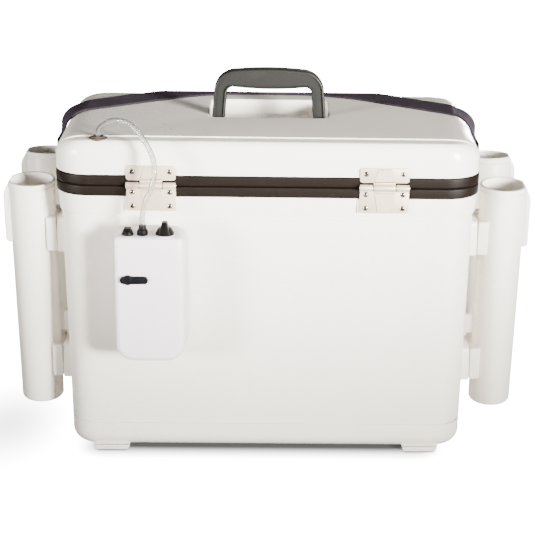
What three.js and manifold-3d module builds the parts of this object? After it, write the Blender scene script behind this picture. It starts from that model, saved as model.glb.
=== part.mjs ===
// A live bait well: an insulated cooler with a hinged lid, a folding carry handle, four rod
// holders, and an air pump on its back wall whose hose runs through the lid to an air stone.
// Millimetres, +Z up, z = 0 under the feet. The hinge side faces -Y and the latches face +Y.
import * as THREE from 'three';
import { mergeVertices } from 'three/addons/utils/BufferGeometryUtils.js';
import Module from 'manifold-3d';

const wasm = await Module();
wasm.setup();

// Whole box
const rimWidth = 508;
const rimDepth = 284;
const rimCorner = 42;
const partingHeight = 348;
const lidHeight = 54;
const bandHeight = 12.4;
const bandEdge = 1.6;
const footHeight = 8;
const seam = 0.3;
const overrun = 5;

// Walls, as insets from the rim's outer face
const shellWall = 3;
const linerWall = 2.4;
const collarTopInset = 1.6;
const collarFootInset = 3.4;
const wallTopInset = 5.5;
const wallFootInset = 8.4;
const openingInset = 30;
const linerDraft = 3;
const rimInnerInset = 29.4;
const stepDrop = 38;
const grooveHeight = 34;
const grooveDepth = 1.3;
const grooveHalf = 1.7;
const bottomRadius = 14;
const floorInsulation = 24;
const linerFloorRadius = 9;

// Feet
const footLength = 46;
const footFlat = 33;
const footDepth = 34;
const footInset = 60;
const footRearInset = 11;

// Lid
const lidWallInset = 0.5;
const lidEdgeRadius = 24;
const lidCrown = 1.2;
const crownInset = 36;
const gasketInset = 14;
const gasketWidth = 6;
const gasketHeight = 4;
const plugDepth = 6;
const plugInset = 36;
const plugChamfer = 2;

// Carry handle and its recess
const handleWidth = 143;
const handleDepth = 18;
const handleRise = 68.1;
const legWidth = 16;
const gripHeight = 25.2;
const gripCrown = 2;
const gripSag = 2.4;
const handleOuterRadius = 28;
const handleInnerRadius = 8;
const legTaper = 3;
const handleEdge = 2.5;
const pivotDrop = 9;
const pivotRadius = 4;
const pivotReach = 2.4;
const recessSideGap = 3;
const recessRearGap = 6;
const recessFrontGap = 15.9;
const recessCorner = 9;
const floorClearance = 1;

// Hinges
const hingeInset = 116.4;
const hingeWidth = 59.5;
const leafThickness = 1.5;
const barrelRadius = 3.8;
const barrelBore = 2.3;
const hingePinRadius = 2;
const hingeAxisRise = 2;
const middleKnuckle = 26;
const knuckleGap = 1.2;
const upperLeafRise = 25.5;
const lowerLeafDrop = 29;
const leafGap = 4.2;
const embossWidth = 26;
const embossNeck = 17;
const embossRise = 0.8;
const screwRadius = 3.3;
const screwRise = 1.7;
const screwSpacing = 44;
const screwEdge = 7.5;
const padMargin = 2;

// Front latches
const latchInset = 104;
const latchPlateWidth = 44;
const latchArmWidth = 26;
const latchPivotDrop = 26;
const latchPivotReach = 5.7;
const earRadius = 5;
const earThickness = 3;
const latchBarrelRadius = 4;
const latchPinRadius = 2;
const latchArmLength = 49;
const latchPlate = 2;
const nibReach = 5;
const nibThickness = 2;
const tabLength = 9;
const tabReach = 6;
const ledgeReach = 4.1;
const ledgeThickness = 2;
const catchRise = 4;
const catchHeight = 26;

// Rod holders
const tubeStandoff = 35;
const tubeMouthDrop = 12.5;
const tubeFootHeight = 42.5;
const tubeSplay = 17.3;
const tubeMouthRadius = 28.2;
const tubeFootRadius = 26.3;
const tubeWall = 3;
const lipHeight = 4.4;
const lipRise = 0.8;
const tubeFootEdge = 4;
const drainRadius = 5;
const mouthChord = 25.8;
const padReach = 34.7;
const padWidth = 27;
const padLength = 78;
const padChamfer = 14;
const padFootChamfer = 4;
const mountFaceGap = 4;
const mountWidth = 38;
const mountHeight = 41;
const mountOvershoot = 2;
const upperMountDrop = 65;
const lowerMountRise = 57.3;

// Air pump
const pumpInset = 115.6;
const pumpTopDrop = 48;
const pumpFootRadius = 21;
const pumpTopRadius = 6;
const pumpRearRound = 12;
const pumpFlare = 4;
const pumpCoverDepth = 6.6;
const pumpWall = 2.4;
const pumpEdge = 3;
const hangerThickness = 4;
const hangerWidth = 50;
const hangerHeight = 70;
const hangerTopDrop = 20;
const turnLatchThickness = 3.8;
const turnLatchX = -24.1;
const turnLatchDrop = 50.3;
const turnLatchLength = 32.4;
const turnLatchTail = 9.1;
const turnLatchWidth = 9.2;
const turnLatchHub = 6;
const cellRadius = 17;
const cellLength = 61.5;
const cellNubRadius = 4.5;
const cellNubRise = 1.5;
const cellRise = 8.6;
const cellSideGap = 3.9;
const cellBackGap = 7.6;
const cellFrontGap = 6.6;
const motorGap = 15.8;
const contactThickness = 1;
const motorRadius = 12;
const motorLength = 30;
const headWidth = 36;
const headDepth = 42;
const headHeight = 26;
const fittingDepth = 38.9;
const socketX = -24.1;
const socketRadius = 6.6;
const socketRise = 4;
const capRadius = 7;
const capRise = 3;
const capLip = 2;
const barbX = -7;
const barbRadius = 6.4;
const barbBaseRise = 3;
const barbStemRadius = 3;
const barbStemRise = 2.6;
const knobX = 18.9;
const knobPadRadius = 12.5;
const knobPadRise = 1.4;
const knobBaseRadius = 11;
const knobBaseRise = 4;
const knobTopRadius = 8;
const knobRise = 12;
const pointerWidth = 5;

// Air line
const hoseRadius = 3.175;
const grommetInsetX = 54;
const grommetInsetY = 18;
const grommetRadius = 11;
const grommetTierRadius = 8;
const grommetRise = 2.4;
const grommetTierRise = 4.6;
const grommetStemRadius = 6;
const grommetStemDrop = 7;
const grommetSkirt = 10;
const hoseClearance = 0.45;
const channelClearance = 1.6;
const stoneRadius = 9;
const stoneLength = 36;
const stoneInsetX = 136;
const stoneInsetY = 142;
const stoneNipple = 3;

// Carry strap
const strapWidth = 45;
const strapThickness = 2;
const strapSideGap = 6.5;
const strapFrontReach = 20;
const strapFrontBend = 256;
const strapSideBend = 60;
const strapDiagonal = 0.6;
const strapEndRun = 8;
const clampHeight = 10;
const clampLip = 5;
const clampPlate = 2.4;

// Shares of the sizes that they follow
const screwShoulder_share = 0.72;
const lowerScrew_shares = [0.196, 0.83];
const tubeMouth_share = 0.25;
const latchScrewX_share = 0.75;
const padRoot_share = 0.9;
const mountRoot_share = 0.68;
const latchRound_share = 0.45;
const latchArm_share = 0.7;
const latchHubSink_share = 0.8;

// Facets
const cornerSteps = 5;
const edgeSteps = 3;
const tubeSides = 24;
const cellSides = 16;
const smallSides = 12;
const screwSides = 8;
const hoseSides = 8;
const channelSteps = 16;
const outerHoseSteps = 22;
const innerHoseSteps = 28;
const strapSteps = 72;
const strapColumns = 6;
const leastCorner = 0.5;

// Places that follow from the sizes above
const quarterTurn = Math.PI / 2;
const lidTopHeight = partingHeight + lidHeight;
const stepHeight = partingHeight - stepDrop;
const upperLeafTop = partingHeight + upperLeafRise;
const lowerLeafFoot = partingHeight - lowerLeafDrop;
const catchFoot = partingHeight + catchRise;
const hingeSpacing = rimWidth - 2 * hingeInset;
const latchSpacing = rimWidth - 2 * latchInset;
const footSpacingX = rimWidth - 2 * footInset;
const bodyRimTop = partingHeight - seam;
const bodyTop = bodyRimTop - bandHeight - seam;
const bodyFoot = footHeight + seam;
const lidRimFoot = partingHeight + seam;
const lidRimTop = lidRimFoot + bandHeight;
const lidShellFoot = lidRimTop + seam;
const tubFloor = bodyFoot + shellWall + floorInsulation + 2 * seam + linerWall;
const hingeAxisY = -(rimDepth / 2 + seam + barrelRadius);
const hingeAxisHeight = partingHeight + hingeAxisRise;
const handlePivotHeight = lidTopHeight - pivotDrop;
const recessDepth = pivotDrop + handleDepth / 2 + floorClearance;
const recessFloor = lidTopHeight - recessDepth;
const recessWidth = handleWidth + 2 * recessSideGap;
const recessRear = handleDepth / 2 + recessRearGap;
const recessFront = handleRise + recessFrontGap;
const latchAxisY = rimDepth / 2 + seam + leafThickness + latchPivotReach;
const latchAxisHeight = partingHeight - latchPivotDrop;
const tubeOffsetX = rimWidth / 2 + tubeStandoff;
const tubeMouthY = rimDepth * tubeMouth_share;
const tubeMouthHeight = partingHeight - tubeMouthDrop;
const tubeLength = Math.hypot(tubeMouthHeight - tubeFootHeight, tubeSplay);
const splayAngle = Math.asin(tubeSplay / tubeLength);
const mountFace = rimWidth / 2 + mountFaceGap;
const upperMountHeight = tubeMouthHeight - upperMountDrop;
const lowerMountHeight = tubeFootHeight + lowerMountRise;
const hangerBack = rimDepth / 2 - wallTopInset + seam;
const shellBack = hangerBack + hangerThickness + seam;
const pumpDepth = cellBackGap + cellFrontGap + 2 * (pumpWall + cellRadius);
const pumpShellDepth = pumpDepth - pumpCoverDepth;
const coverBack = shellBack + pumpShellDepth + seam;
const turnLatchBack = coverBack + pumpCoverDepth + seam;
const pumpX = pumpInset - rimWidth / 2;
const pumpWidth = 4 * cellRadius + 2 * (pumpWall + cellSideGap);
const pumpHeight = pumpWall + cellRise + cellLength + contactThickness + 2 * seam + motorGap
  + motorLength + headHeight + 2 * barbStemRise + pumpWall;
const pumpTop = partingHeight - pumpTopDrop;
const pumpFoot = pumpTop - pumpHeight;
const turnLatchHeight = pumpTop - turnLatchDrop;
const fittingY = shellBack + fittingDepth;
const grommetX = grommetInsetX - rimWidth / 2;
const grommetY = grommetInsetY - rimDepth / 2;
const stoneX = stoneInsetX - rimWidth / 2;
const stoneY = stoneInsetY - rimDepth / 2;
const stoneHeight = tubFloor + seam + stoneRadius;

// The part's origin lies half way between its rearmost and its foremost reach.
const rearReach = turnLatchBack + turnLatchThickness;
const frontReach = latchAxisY + earRadius;
const bodyCentreY = (rearReach - frontReach) / 2;

// The hose from the pump to the grommet, and from the grommet down to the air stone: each point
// in plan from the rim's rear left corner, and its height as a share of a named span
const outerHosePlan = [
  [108.6, -38], [108.6, -38.4], [113.6, -38.4], [120, -37], [123.3, -34], [122.3, -29.5],
  [115.9, -23], [105.3, -14.5], [90.3, -4.5], [72.9, 4.5], [59.2, 13], [54.9, 17.3], [54, 18],
  [54, 18],
];
const outerHoseRise_shares = [
  0.0412, 0.2108, 0.4167, 0.5608, 0.7196, 0.8529, 0.9912, 1.1245, 1.2304, 1.2294, 1.1422, 1.0833,
  1.0294, 0.9608,
];
const innerHosePlan = [
  [54, 18], [54, 18], [55.4, 25], [57.6, 36.4], [59, 43], [59.4, 44.4], [61, 48], [65, 62],
  [68, 80], [69, 102], [74, 124], [88, 138], [104, 142],
];
const innerHoseRise_shares = [
  0.9876, 0.9643, 0.9368, 0.9106, 0.879, 0.8433, 0.747, 0.5821, 0.3896, 0.2109, 0.0927, 0.0377,
  0.0272,
];
const inPlace = (plan, shares, foot, top) => plan.map(([x, y], i) =>
  [x - rimWidth / 2, y - rimDepth / 2, foot + shares[i] * (top - foot)]);
const outerHoseRoute = inPlace(outerHosePlan, outerHoseRise_shares, pumpTop, lidTopHeight);
const innerHoseRoute = [
  ...inPlace(innerHosePlan, innerHoseRise_shares, tubFloor, lidTopHeight),
  [stoneX - stoneLength / 2 - stoneNipple - 2 * seam, stoneY, stoneHeight],
];

// Looks
const white = { color: 0xf1eee8, roughness: 0.38, metalness: 0 };
const linerWhite = { color: 0xe9e8e3, roughness: 0.5, metalness: 0 };
const rimBrown = { color: 0x463c35, roughness: 0.55, metalness: 0 };
const handleGrey = { color: 0x63645f, roughness: 0.6, metalness: 0 };
const webbing = { color: 0x2b2731, roughness: 0.9, metalness: 0 };
const steel = { color: 0xe2dacd, roughness: 0.35, metalness: 0.8 };
const blackPlastic = { color: 0x1e1c1b, roughness: 0.5, metalness: 0 };
const pumpWhite = { color: 0xe9e6e4, roughness: 0.4, metalness: 0 };
const rubber = { color: 0x6d6156, roughness: 0.8, metalness: 0 };
const gasketRubber = { color: 0x2a2a2a, roughness: 0.85, metalness: 0 };
const hoseClear = { color: 0xdcdfdc, roughness: 0.2, metalness: 0 };
const foam = { color: 0xe8dcb0, roughness: 0.95, metalness: 0 };
const stoneBlue = { color: 0x5b7f9b, roughness: 1, metalness: 0 };
const cellSleeve = { color: 0x33383d, roughness: 0.4, metalness: 0.2 };
const brassPlate = { color: 0xb9a36a, roughness: 0.35, metalness: 1 };

// Solids from surfaces
function toSolid(geometry) {
  const bare = geometry.clone();
  bare.deleteAttribute('normal');
  bare.deleteAttribute('uv');
  const merged = mergeVertices(bare);
  return new wasm.Manifold(new wasm.Mesh({
    numProp: 3,
    vertProperties: Float32Array.from(merged.attributes.position.array),
    triVerts: Uint32Array.from(merged.index.array),
  }));
}

function toGeometry(solid) {
  const mesh = solid.getMesh();
  const geometry = new THREE.BufferGeometry();
  geometry.setAttribute('position', new THREE.BufferAttribute(mesh.vertProperties, 3));
  geometry.setIndex(new THREE.BufferAttribute(mesh.triVerts, 1));
  return geometry;
}

const join = (first, ...others) =>
  toGeometry(others.reduce((solid, other) => solid.add(toSolid(other)), toSolid(first)));
const carve = (first, ...cutters) =>
  toGeometry(cutters.reduce((solid, cutter) => solid.subtract(toSolid(cutter)), toSolid(first)));
const common = (first, second) => toGeometry(toSolid(first).intersect(toSolid(second)));

// Plain solids
function block([x0, x1], [y0, y1], [z0, z1]) {
  const geometry = new THREE.BoxGeometry(x1 - x0, y1 - y0, z1 - z0);
  return geometry.translate((x0 + x1) / 2, (y0 + y1) / 2, (z0 + z1) / 2);
}

function upright(radius, z0, z1, x = 0, y = 0, sides = smallSides) {
  const geometry = new THREE.CylinderGeometry(radius, radius, z1 - z0, sides);
  return geometry.rotateX(quarterTurn).translate(x, y, (z0 + z1) / 2);
}

function crosswise(radius, x0, x1, y, z, sides = smallSides) {
  const geometry = new THREE.CylinderGeometry(radius, radius, x1 - x0, sides);
  return geometry.rotateZ(quarterTurn).translate((x0 + x1) / 2, y, z);
}

function turned(profile, sides = smallSides) {
  const points = profile.map(([radius, height]) => new THREE.Vector2(radius, height));
  return new THREE.LatheGeometry(points, sides).rotateX(quarterTurn);
}

function polygon(points) {
  return new THREE.Shape(points.map(([u, v]) => new THREE.Vector2(u, v)));
}

const alongZ = (shape, z0, z1) => new THREE.ExtrudeGeometry(shape,
  { depth: z1 - z0, bevelEnabled: false, curveSegments: cornerSteps }).translate(0, 0, z0);
const alongY = (shape, y0, y1) => alongZ(shape, 0, y1 - y0).rotateX(quarterTurn).translate(0, y1, 0);
const alongX = (shape, x0, x1) => alongZ(shape, 0, x1 - x0).applyMatrix4(new THREE.Matrix4().makeBasis(
  new THREE.Vector3(0, 1, 0), new THREE.Vector3(0, 0, 1), new THREE.Vector3(1, 0, 0))).translate(x0, 0, 0);

// A rectangle with round corners, as a shape; the foot corners may have their own radius.
function roundedShape(x0, x1, v0, v1, topRadius, footRadius = topRadius) {
  const shape = new THREE.Shape();
  shape.absarc(x1 - footRadius, v0 + footRadius, footRadius, -quarterTurn, 0);
  shape.absarc(x1 - topRadius, v1 - topRadius, topRadius, 0, quarterTurn);
  shape.absarc(x0 + topRadius, v1 - topRadius, topRadius, quarterTurn, 2 * quarterTurn);
  shape.absarc(x0 + footRadius, v0 + footRadius, footRadius, 2 * quarterTurn, 3 * quarterTurn);
  return shape;
}

// The box's plan at one height: every wall is the rim's outline drawn in by an inset.
function boxRing([inset, z]) {
  const radius = Math.max(rimCorner - inset, leastCorner);
  const halfX = rimWidth / 2 - inset - radius;
  const halfY = rimDepth / 2 - inset - radius;
  const corners = [[halfX, halfY], [-halfX, halfY], [-halfX, -halfY], [halfX, -halfY]];
  return corners.flatMap(([x, y], quarter) => Array.from({ length: cornerSteps + 1 }, (_, step) => {
    const angle = (quarter + step / cornerSteps) * quarterTurn;
    return [x + radius * Math.cos(angle), y + radius * Math.sin(angle), z];
  }));
}

// A closed surface through rings of equal count, with end caps or joined end to end
function loft(rings, endless = false) {
  const count = rings[0].length;
  const faces = [];
  const bands = endless ? rings.length : rings.length - 1;
  for (let band = 0; band < bands; band += 1) {
    const low = band * count;
    const high = ((band + 1) % rings.length) * count;
    for (let i = 0; i < count; i += 1) {
      const next = (i + 1) % count;
      faces.push(low + i, low + next, high + next, low + i, high + next, high + i);
    }
  }
  if (!endless) {
    const last = (rings.length - 1) * count;
    for (let i = 1; i < count - 1; i += 1) {
      faces.push(0, i + 1, i, last, last + i, last + i + 1);
    }
  }
  const geometry = new THREE.BufferGeometry();
  geometry.setAttribute('position', new THREE.Float32BufferAttribute(rings.flat(2), 3));
  geometry.setIndex(enclosed(rings, faces) < 0 ? faces.reverse() : faces);
  return geometry;
}

// Six times the volume inside the faces, negative where they point inward
function enclosed(rings, faces) {
  const corners = rings.flat().map((point) => new THREE.Vector3(...point));
  let volume = 0;
  for (let i = 0; i < faces.length; i += 3) {
    const [a, b, c] = faces.slice(i, i + 3).map((index) => corners[index]);
    volume += a.dot(b.clone().cross(c));
  }
  return volume;
}

const boxLoft = (profile, endless = false) => loft(profile.map(boxRing), endless);

// A quarter round in a box profile, from inset and height one step to the next
function edgeRound(inset, z, radius, fromAngle, toAngle) {
  return Array.from({ length: edgeSteps + 1 }, (_, step) => {
    const angle = fromAngle + (toAngle - fromAngle) * (step / edgeSteps);
    return [inset - radius * Math.cos(angle), z + radius * Math.sin(angle)];
  });
}

function hoseAlong(route, radius, steps) {
  const section = Array.from({ length: hoseSides }, (_, i) => {
    const angle = (4 * quarterTurn * i) / hoseSides;
    return [radius * Math.cos(angle), radius * Math.sin(angle)];
  });
  const path = new THREE.CatmullRomCurve3(route.map((point) => new THREE.Vector3(...point)));
  return new THREE.ExtrudeGeometry(polygon(section), { steps, bevelEnabled: false, extrudePath: path });
}

// The group and its named pieces
const part = new THREE.Group();
const assembly = new THREE.Group();
assembly.position.y = bodyCentreY;
part.add(assembly);

function add(name, geometry, look, parent = assembly) {
  const mesh = new THREE.Mesh(geometry, new THREE.MeshStandardMaterial(look));
  mesh.name = name;
  parent.add(mesh);
  return mesh;
}

const sides = [['left', -1], ['right', 1]];
const ends = [['rear', -1], ['front', 1]];

// Box: an outer tub and an inner liner with foam between them, under a rim band
function wallInsetAt(z) {
  const share = (stepHeight - z) / (stepHeight - grooveHeight);
  return wallTopInset + (wallFootInset - wallTopInset) * share;
}

function tubWalls() {
  const footInset = wallInsetAt(bodyFoot);
  const insideFoot = bodyFoot + shellWall;
  return boxLoft([
    ...edgeRound(footInset + bottomRadius, bodyFoot + bottomRadius, bottomRadius, -quarterTurn, 0),
    [wallInsetAt(grooveHeight), grooveHeight - grooveHalf],
    [wallInsetAt(grooveHeight) + grooveDepth, grooveHeight],
    [wallInsetAt(grooveHeight), grooveHeight + grooveHalf],
    [wallTopInset, stepHeight - grooveHalf],
    [wallTopInset + grooveDepth, stepHeight],
    [collarFootInset, stepHeight + grooveHalf],
    [collarTopInset, bodyTop],
    [wallTopInset + shellWall, bodyTop],
    [footInset + shellWall, insideFoot + bottomRadius - shellWall],
    [footInset + bottomRadius, insideFoot],
  ]);
}

function mountBoss(side, end, height) {
  const along = tubeMouthY - (tubeMouthHeight - height) * Math.tan(splayAngle);
  const half = mountHeight / 2 + mountOvershoot;
  const inner = rimWidth / 2 - wallInsetAt(height) - shellWall / 2;
  const faces = [side * inner, side * (mountFace - seam)].sort((a, b) => a - b);
  const width = mountWidth / 2 + mountOvershoot;
  return block(faces, [end * along - width, end * along + width], [height - half, height + half]);
}

function wallPad(x, halfWidth, end, foot) {
  const faces = [end * (rimDepth / 2 - wallTopInset - seam), end * rimDepth / 2].sort((a, b) => a - b);
  return block([x - halfWidth, x + halfWidth], faces, [foot, bodyTop]);
}

function outerTub() {
  const bosses = sides.flatMap(([, side]) => ends.flatMap(([, end]) =>
    [upperMountHeight, lowerMountHeight].map((height) => mountBoss(side, end, height))));
  const pads = sides.flatMap(([, side]) => [
    wallPad(side * hingeSpacing / 2, hingeWidth / 2 + padMargin, -1, lowerLeafFoot - padMargin),
    wallPad(side * latchSpacing / 2, latchPlateWidth / 2 + padMargin, 1, stepHeight + padMargin),
  ]);
  return join(tubWalls(), ...bosses, ...pads);
}

function wallFoam() {
  const outerTop = wallTopInset + shellWall + seam;
  const outerFoot = wallInsetAt(bodyFoot) + shellWall + seam;
  const foot = bodyFoot + shellWall + seam;
  const foamFloor = foot + floorInsulation;
  const inner = openingInset - linerWall - seam;
  return boxLoft([
    [outerFoot + bottomRadius - shellWall, foot],
    [outerFoot, foot + bottomRadius - shellWall],
    [outerTop, bodyTop - seam],
    [inner, bodyTop - seam],
    [inner + linerDraft, foamFloor + linerFloorRadius],
    [inner + linerDraft + linerFloorRadius, foamFloor],
  ]);
}

function innerLiner() {
  const foot = tubFloor - linerWall;
  const outer = openingInset - linerWall;
  return boxLoft([
    [outer + linerDraft + linerFloorRadius, foot],
    [outer + linerDraft, foot + linerFloorRadius],
    [outer, bodyTop],
    [openingInset, bodyTop],
    [openingInset + linerDraft, tubFloor + linerFloorRadius - linerWall],
    [openingInset + linerDraft + linerFloorRadius - linerWall, tubFloor],
  ]);
}

function bodyRim() {
  return boxLoft([
    [bandEdge, bodyTop + seam], [rimInnerInset, bodyTop + seam],
    [rimInnerInset, bodyRimTop], [bandEdge, bodyRimTop],
    [0, bodyRimTop - bandEdge], [0, bodyTop + seam + bandEdge],
  ].reverse(), true);
}

function foot() {
  const slope = (footLength - footFlat) / 2;
  const half = footLength / 2;
  return alongY(polygon([
    [-half + slope, 0], [half - slope, 0], [half, footHeight], [-half, footHeight],
  ]), -footDepth / 2, footDepth / 2);
}

add('outer_tub', outerTub(), white);
add('wall_foam', wallFoam(), foam);
add('inner_liner', innerLiner(), linerWhite);
add('body_rim', bodyRim(), rimBrown);
for (const [sideName, side] of sides) {
  for (const [endName, end] of ends) {
    const mesh = add(`foot_${endName}_${sideName}`, foot(), white);
    mesh.position.set(side * footSpacingX / 2, end * (rimDepth / 2 - footRearInset - footDepth / 2), 0);
  }
}

// Lid: a domed shell on its own rim band, with foam, an inner pan and a gasket below
const lid = new THREE.Group();
assembly.add(lid);

function lidDome(growth, foot) {
  const inset = lidWallInset - growth;
  const radius = lidEdgeRadius + growth;
  return boxLoft([
    [inset, foot],
    ...edgeRound(inset + radius, lidTopHeight - lidCrown + growth - radius, radius, 0, quarterTurn),
    [crownInset, lidTopHeight + growth],
  ]);
}

function recessBlock(growth, top) {
  const half = recessWidth / 2 + growth;
  return alongZ(roundedShape(-half, half, -recessRear - growth, recessFront + growth,
    recessCorner + growth), recessFloor - growth, top);
}

function grommetHole(radius) {
  return upright(radius, lidTopHeight - grommetStemDrop - lidEdgeRadius, lidTopHeight + overrun,
    grommetX, grommetY);
}

function lidShell() {
  const hollow = carve(lidDome(-shellWall, lidShellFoot - overrun), recessBlock(shellWall, lidTopHeight));
  const pivots = crosswise(pivotRadius + seam, -recessWidth / 2 - pivotReach - seam / 2,
    recessWidth / 2 + pivotReach + seam / 2, 0, handlePivotHeight);
  return carve(lidDome(0, lidShellFoot), hollow, recessBlock(0, lidTopHeight + overrun), pivots,
    grommetHole(grommetStemRadius + seam));
}

function lidFoam() {
  const panInset = rimInnerInset + seam + linerWall + seam;
  const pocketInset = plugInset + linerWall + seam;
  const dome = lidDome(-shellWall - seam, lidShellFoot + seam);
  const lower = boxLoft([
    [pocketInset, partingHeight - plugDepth + linerWall + seam],
    [pocketInset, lidRimFoot + linerWall + seam],
    [panInset, lidRimFoot + linerWall + seam],
    [panInset, lidShellFoot + overrun],
  ]);
  return carve(join(dome, lower), recessBlock(shellWall + seam, lidTopHeight),
    grommetHole(grommetStemRadius + seam),
    hoseAlong(innerHoseRoute.slice(0, 7), hoseRadius + channelClearance, channelSteps));
}

function lidPan() {
  const foot = partingHeight - plugDepth;
  const outer = rimInnerInset + seam;
  const hole = upright(hoseRadius + channelClearance, foot - overrun, lidRimFoot + linerWall + seam,
    innerHoseRoute[5][0], innerHoseRoute[5][1]);
  return carve(boxLoft([
    [plugInset + plugChamfer, foot],
    [plugInset, foot + plugChamfer],
    [plugInset, lidRimFoot],
    [outer, lidRimFoot],
    [outer, lidRimTop],
    [outer + linerWall, lidRimTop],
    [outer + linerWall, lidRimFoot + linerWall],
    [plugInset + linerWall, lidRimFoot + linerWall],
    [plugInset + linerWall, foot + linerWall],
  ]), hole);
}

function lidRim() {
  const grooveTop = lidRimFoot + gasketHeight;
  return boxLoft([
    [bandEdge, lidRimFoot],
    [gasketInset - seam, lidRimFoot], [gasketInset - seam, grooveTop],
    [gasketInset + gasketWidth + seam, grooveTop], [gasketInset + gasketWidth + seam, lidRimFoot],
    [rimInnerInset, lidRimFoot], [rimInnerInset, lidRimTop], [bandEdge, lidRimTop],
    [0, lidRimTop - bandEdge], [0, lidRimFoot + bandEdge],
  ].reverse(), true);
}

function lidGasket() {
  const top = lidRimFoot + gasketHeight - seam;
  return boxLoft([
    [gasketInset, partingHeight], [gasketInset + gasketWidth, partingHeight],
    [gasketInset + gasketWidth, top], [gasketInset, top],
  ].reverse(), true);
}

add('lid_shell', lidShell(), white, lid);
add('lid_foam', lidFoam(), foam, lid);
add('lid_pan', lidPan(), linerWhite, lid);
add('lid_rim', lidRim(), rimBrown, lid);
add('lid_gasket', lidGasket(), gasketRubber, lid);

// Grommet: two rubber tiers cut to the lid's round edge, with a stem and a bore for the hose
function grommet() {
  const bore = hoseRadius + hoseClearance;
  const top = lidTopHeight + grommetTierRise;
  const foot = lidTopHeight - grommetStemDrop;
  const flange = lidTopHeight + grommetRise;
  const skirt = lidTopHeight - grommetSkirt;
  const tiers = turned([
    [0, skirt], [grommetRadius, skirt], [grommetRadius, flange], [grommetTierRadius, flange],
    [grommetTierRadius, top], [0, top],
  ], tubeSides).translate(grommetX, grommetY, 0);
  const cap = carve(tiers, lidDome(seam, lidShellFoot));
  const stem = upright(grommetStemRadius, foot, flange, grommetX, grommetY);
  return carve(join(cap, stem), upright(bore, foot - overrun, top + overrun, grommetX, grommetY));
}

add('hose_grommet', grommet(), rubber, lid);

// Carry handle: its outline from the rear, rounded at the pivots as seen from the side
function handleOutline(edge) {
  const half = handleWidth / 2 - edge;
  const inner = handleWidth / 2 - legWidth + edge;
  const top = handleRise - gripCrown - edge;
  const underside = handleRise - gripHeight + gripSag + edge;
  const foot = -handleDepth / 2;
  const shape = new THREE.Shape();
  shape.moveTo(half, foot);
  shape.lineTo(half - legTaper, top - handleOuterRadius);
  shape.absarc(half - legTaper - handleOuterRadius, top - handleOuterRadius, handleOuterRadius,
    0, quarterTurn);
  shape.quadraticCurveTo(0, top + 2 * gripCrown, -half + legTaper + handleOuterRadius, top);
  shape.absarc(-half + legTaper + handleOuterRadius, top - handleOuterRadius, handleOuterRadius,
    quarterTurn, 2 * quarterTurn);
  shape.lineTo(-half, foot);
  shape.lineTo(-inner, foot);
  shape.absarc(-inner + legTaper + handleInnerRadius, underside - handleInnerRadius,
    handleInnerRadius, 2 * quarterTurn, quarterTurn, true);
  shape.quadraticCurveTo(0, underside - 2 * gripSag, inner - legTaper - handleInnerRadius, underside);
  shape.absarc(inner - legTaper - handleInnerRadius, underside - handleInnerRadius,
    handleInnerRadius, quarterTurn, 0, true);
  shape.lineTo(inner, foot);
  return shape;
}

function carryHandle() {
  const half = handleDepth / 2;
  const core = alongY(handleOutline(handleEdge), -half, half);
  const skin = alongY(handleOutline(0), -half + handleEdge, half - handleEdge);
  const sideView = new THREE.Shape();
  sideView.absarc(0, 0, half, 2 * quarterTurn, 4 * quarterTurn);
  sideView.lineTo(half, handleRise + overrun);
  sideView.lineTo(-half, handleRise + overrun);
  const rounded = common(join(core, skin), alongX(sideView, -handleWidth, handleWidth));
  const reach = recessWidth / 2 + pivotReach;
  const stubs = sides.map(([, side]) => {
    const span = [side * (handleWidth / 2 - legWidth / 2), side * reach].sort((a, b) => a - b);
    return crosswise(pivotRadius, ...span, 0, 0);
  });
  return join(rounded, ...stubs);
}

add('carry_handle', carryHandle(), handleGrey, lid).position.z = handlePivotHeight;

// Hinges: pressed leaves with a raised middle, knuckles round a pin, and domed screw heads
function screwHead(x, y, z, facing) {
  const profile = [[0, 0], [screwRadius, 0], [screwRadius * screwShoulder_share, screwRise
    * screwShoulder_share], [0, screwRise]];
  return turned(profile, screwSides).rotateX(-facing * quarterTurn).translate(x, y, z);
}

function leafPlate(z0, z1) {
  const back = -(rimDepth / 2 + seam);
  return block([-hingeWidth / 2, hingeWidth / 2], [back - leafThickness, back], [z0, z1]);
}

function leafEmboss(wideZ, neckZ) {
  const face = -(rimDepth / 2 + seam + leafThickness);
  return alongY(polygon([
    [-embossWidth / 2, wideZ], [embossWidth / 2, wideZ], [embossNeck / 2, neckZ], [-embossNeck / 2, neckZ],
  ]), face - embossRise, face + seam);
}

// A knuckle's barrel and the web that joins it to its leaf, above the axis or below it
function knuckle(x0, x1, upDown) {
  const back = -(rimDepth / 2 + seam);
  const reach = [hingeAxisHeight, hingeAxisHeight + upDown * (leafGap + seam)].sort((a, b) => a - b);
  return [
    crosswise(barrelRadius, x0, x1, hingeAxisY, hingeAxisHeight),
    block([x0, x1], [back - leafThickness, back], reach),
  ];
}

function upperLeaf() {
  const face = -(rimDepth / 2 + seam + leafThickness);
  const foot = hingeAxisHeight + leafGap;
  const screws = [-1, 1].map((side) =>
    screwHead(side * screwSpacing / 2, face, upperLeafTop - screwEdge, -1));
  const bore = crosswise(barrelBore, -hingeWidth, hingeWidth, hingeAxisY, hingeAxisHeight);
  return carve(join(leafPlate(foot, upperLeafTop), ...knuckle(-middleKnuckle / 2, middleKnuckle / 2, 1),
    leafEmboss(foot, upperLeafTop - embossRise), ...screws), bore);
}

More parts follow.
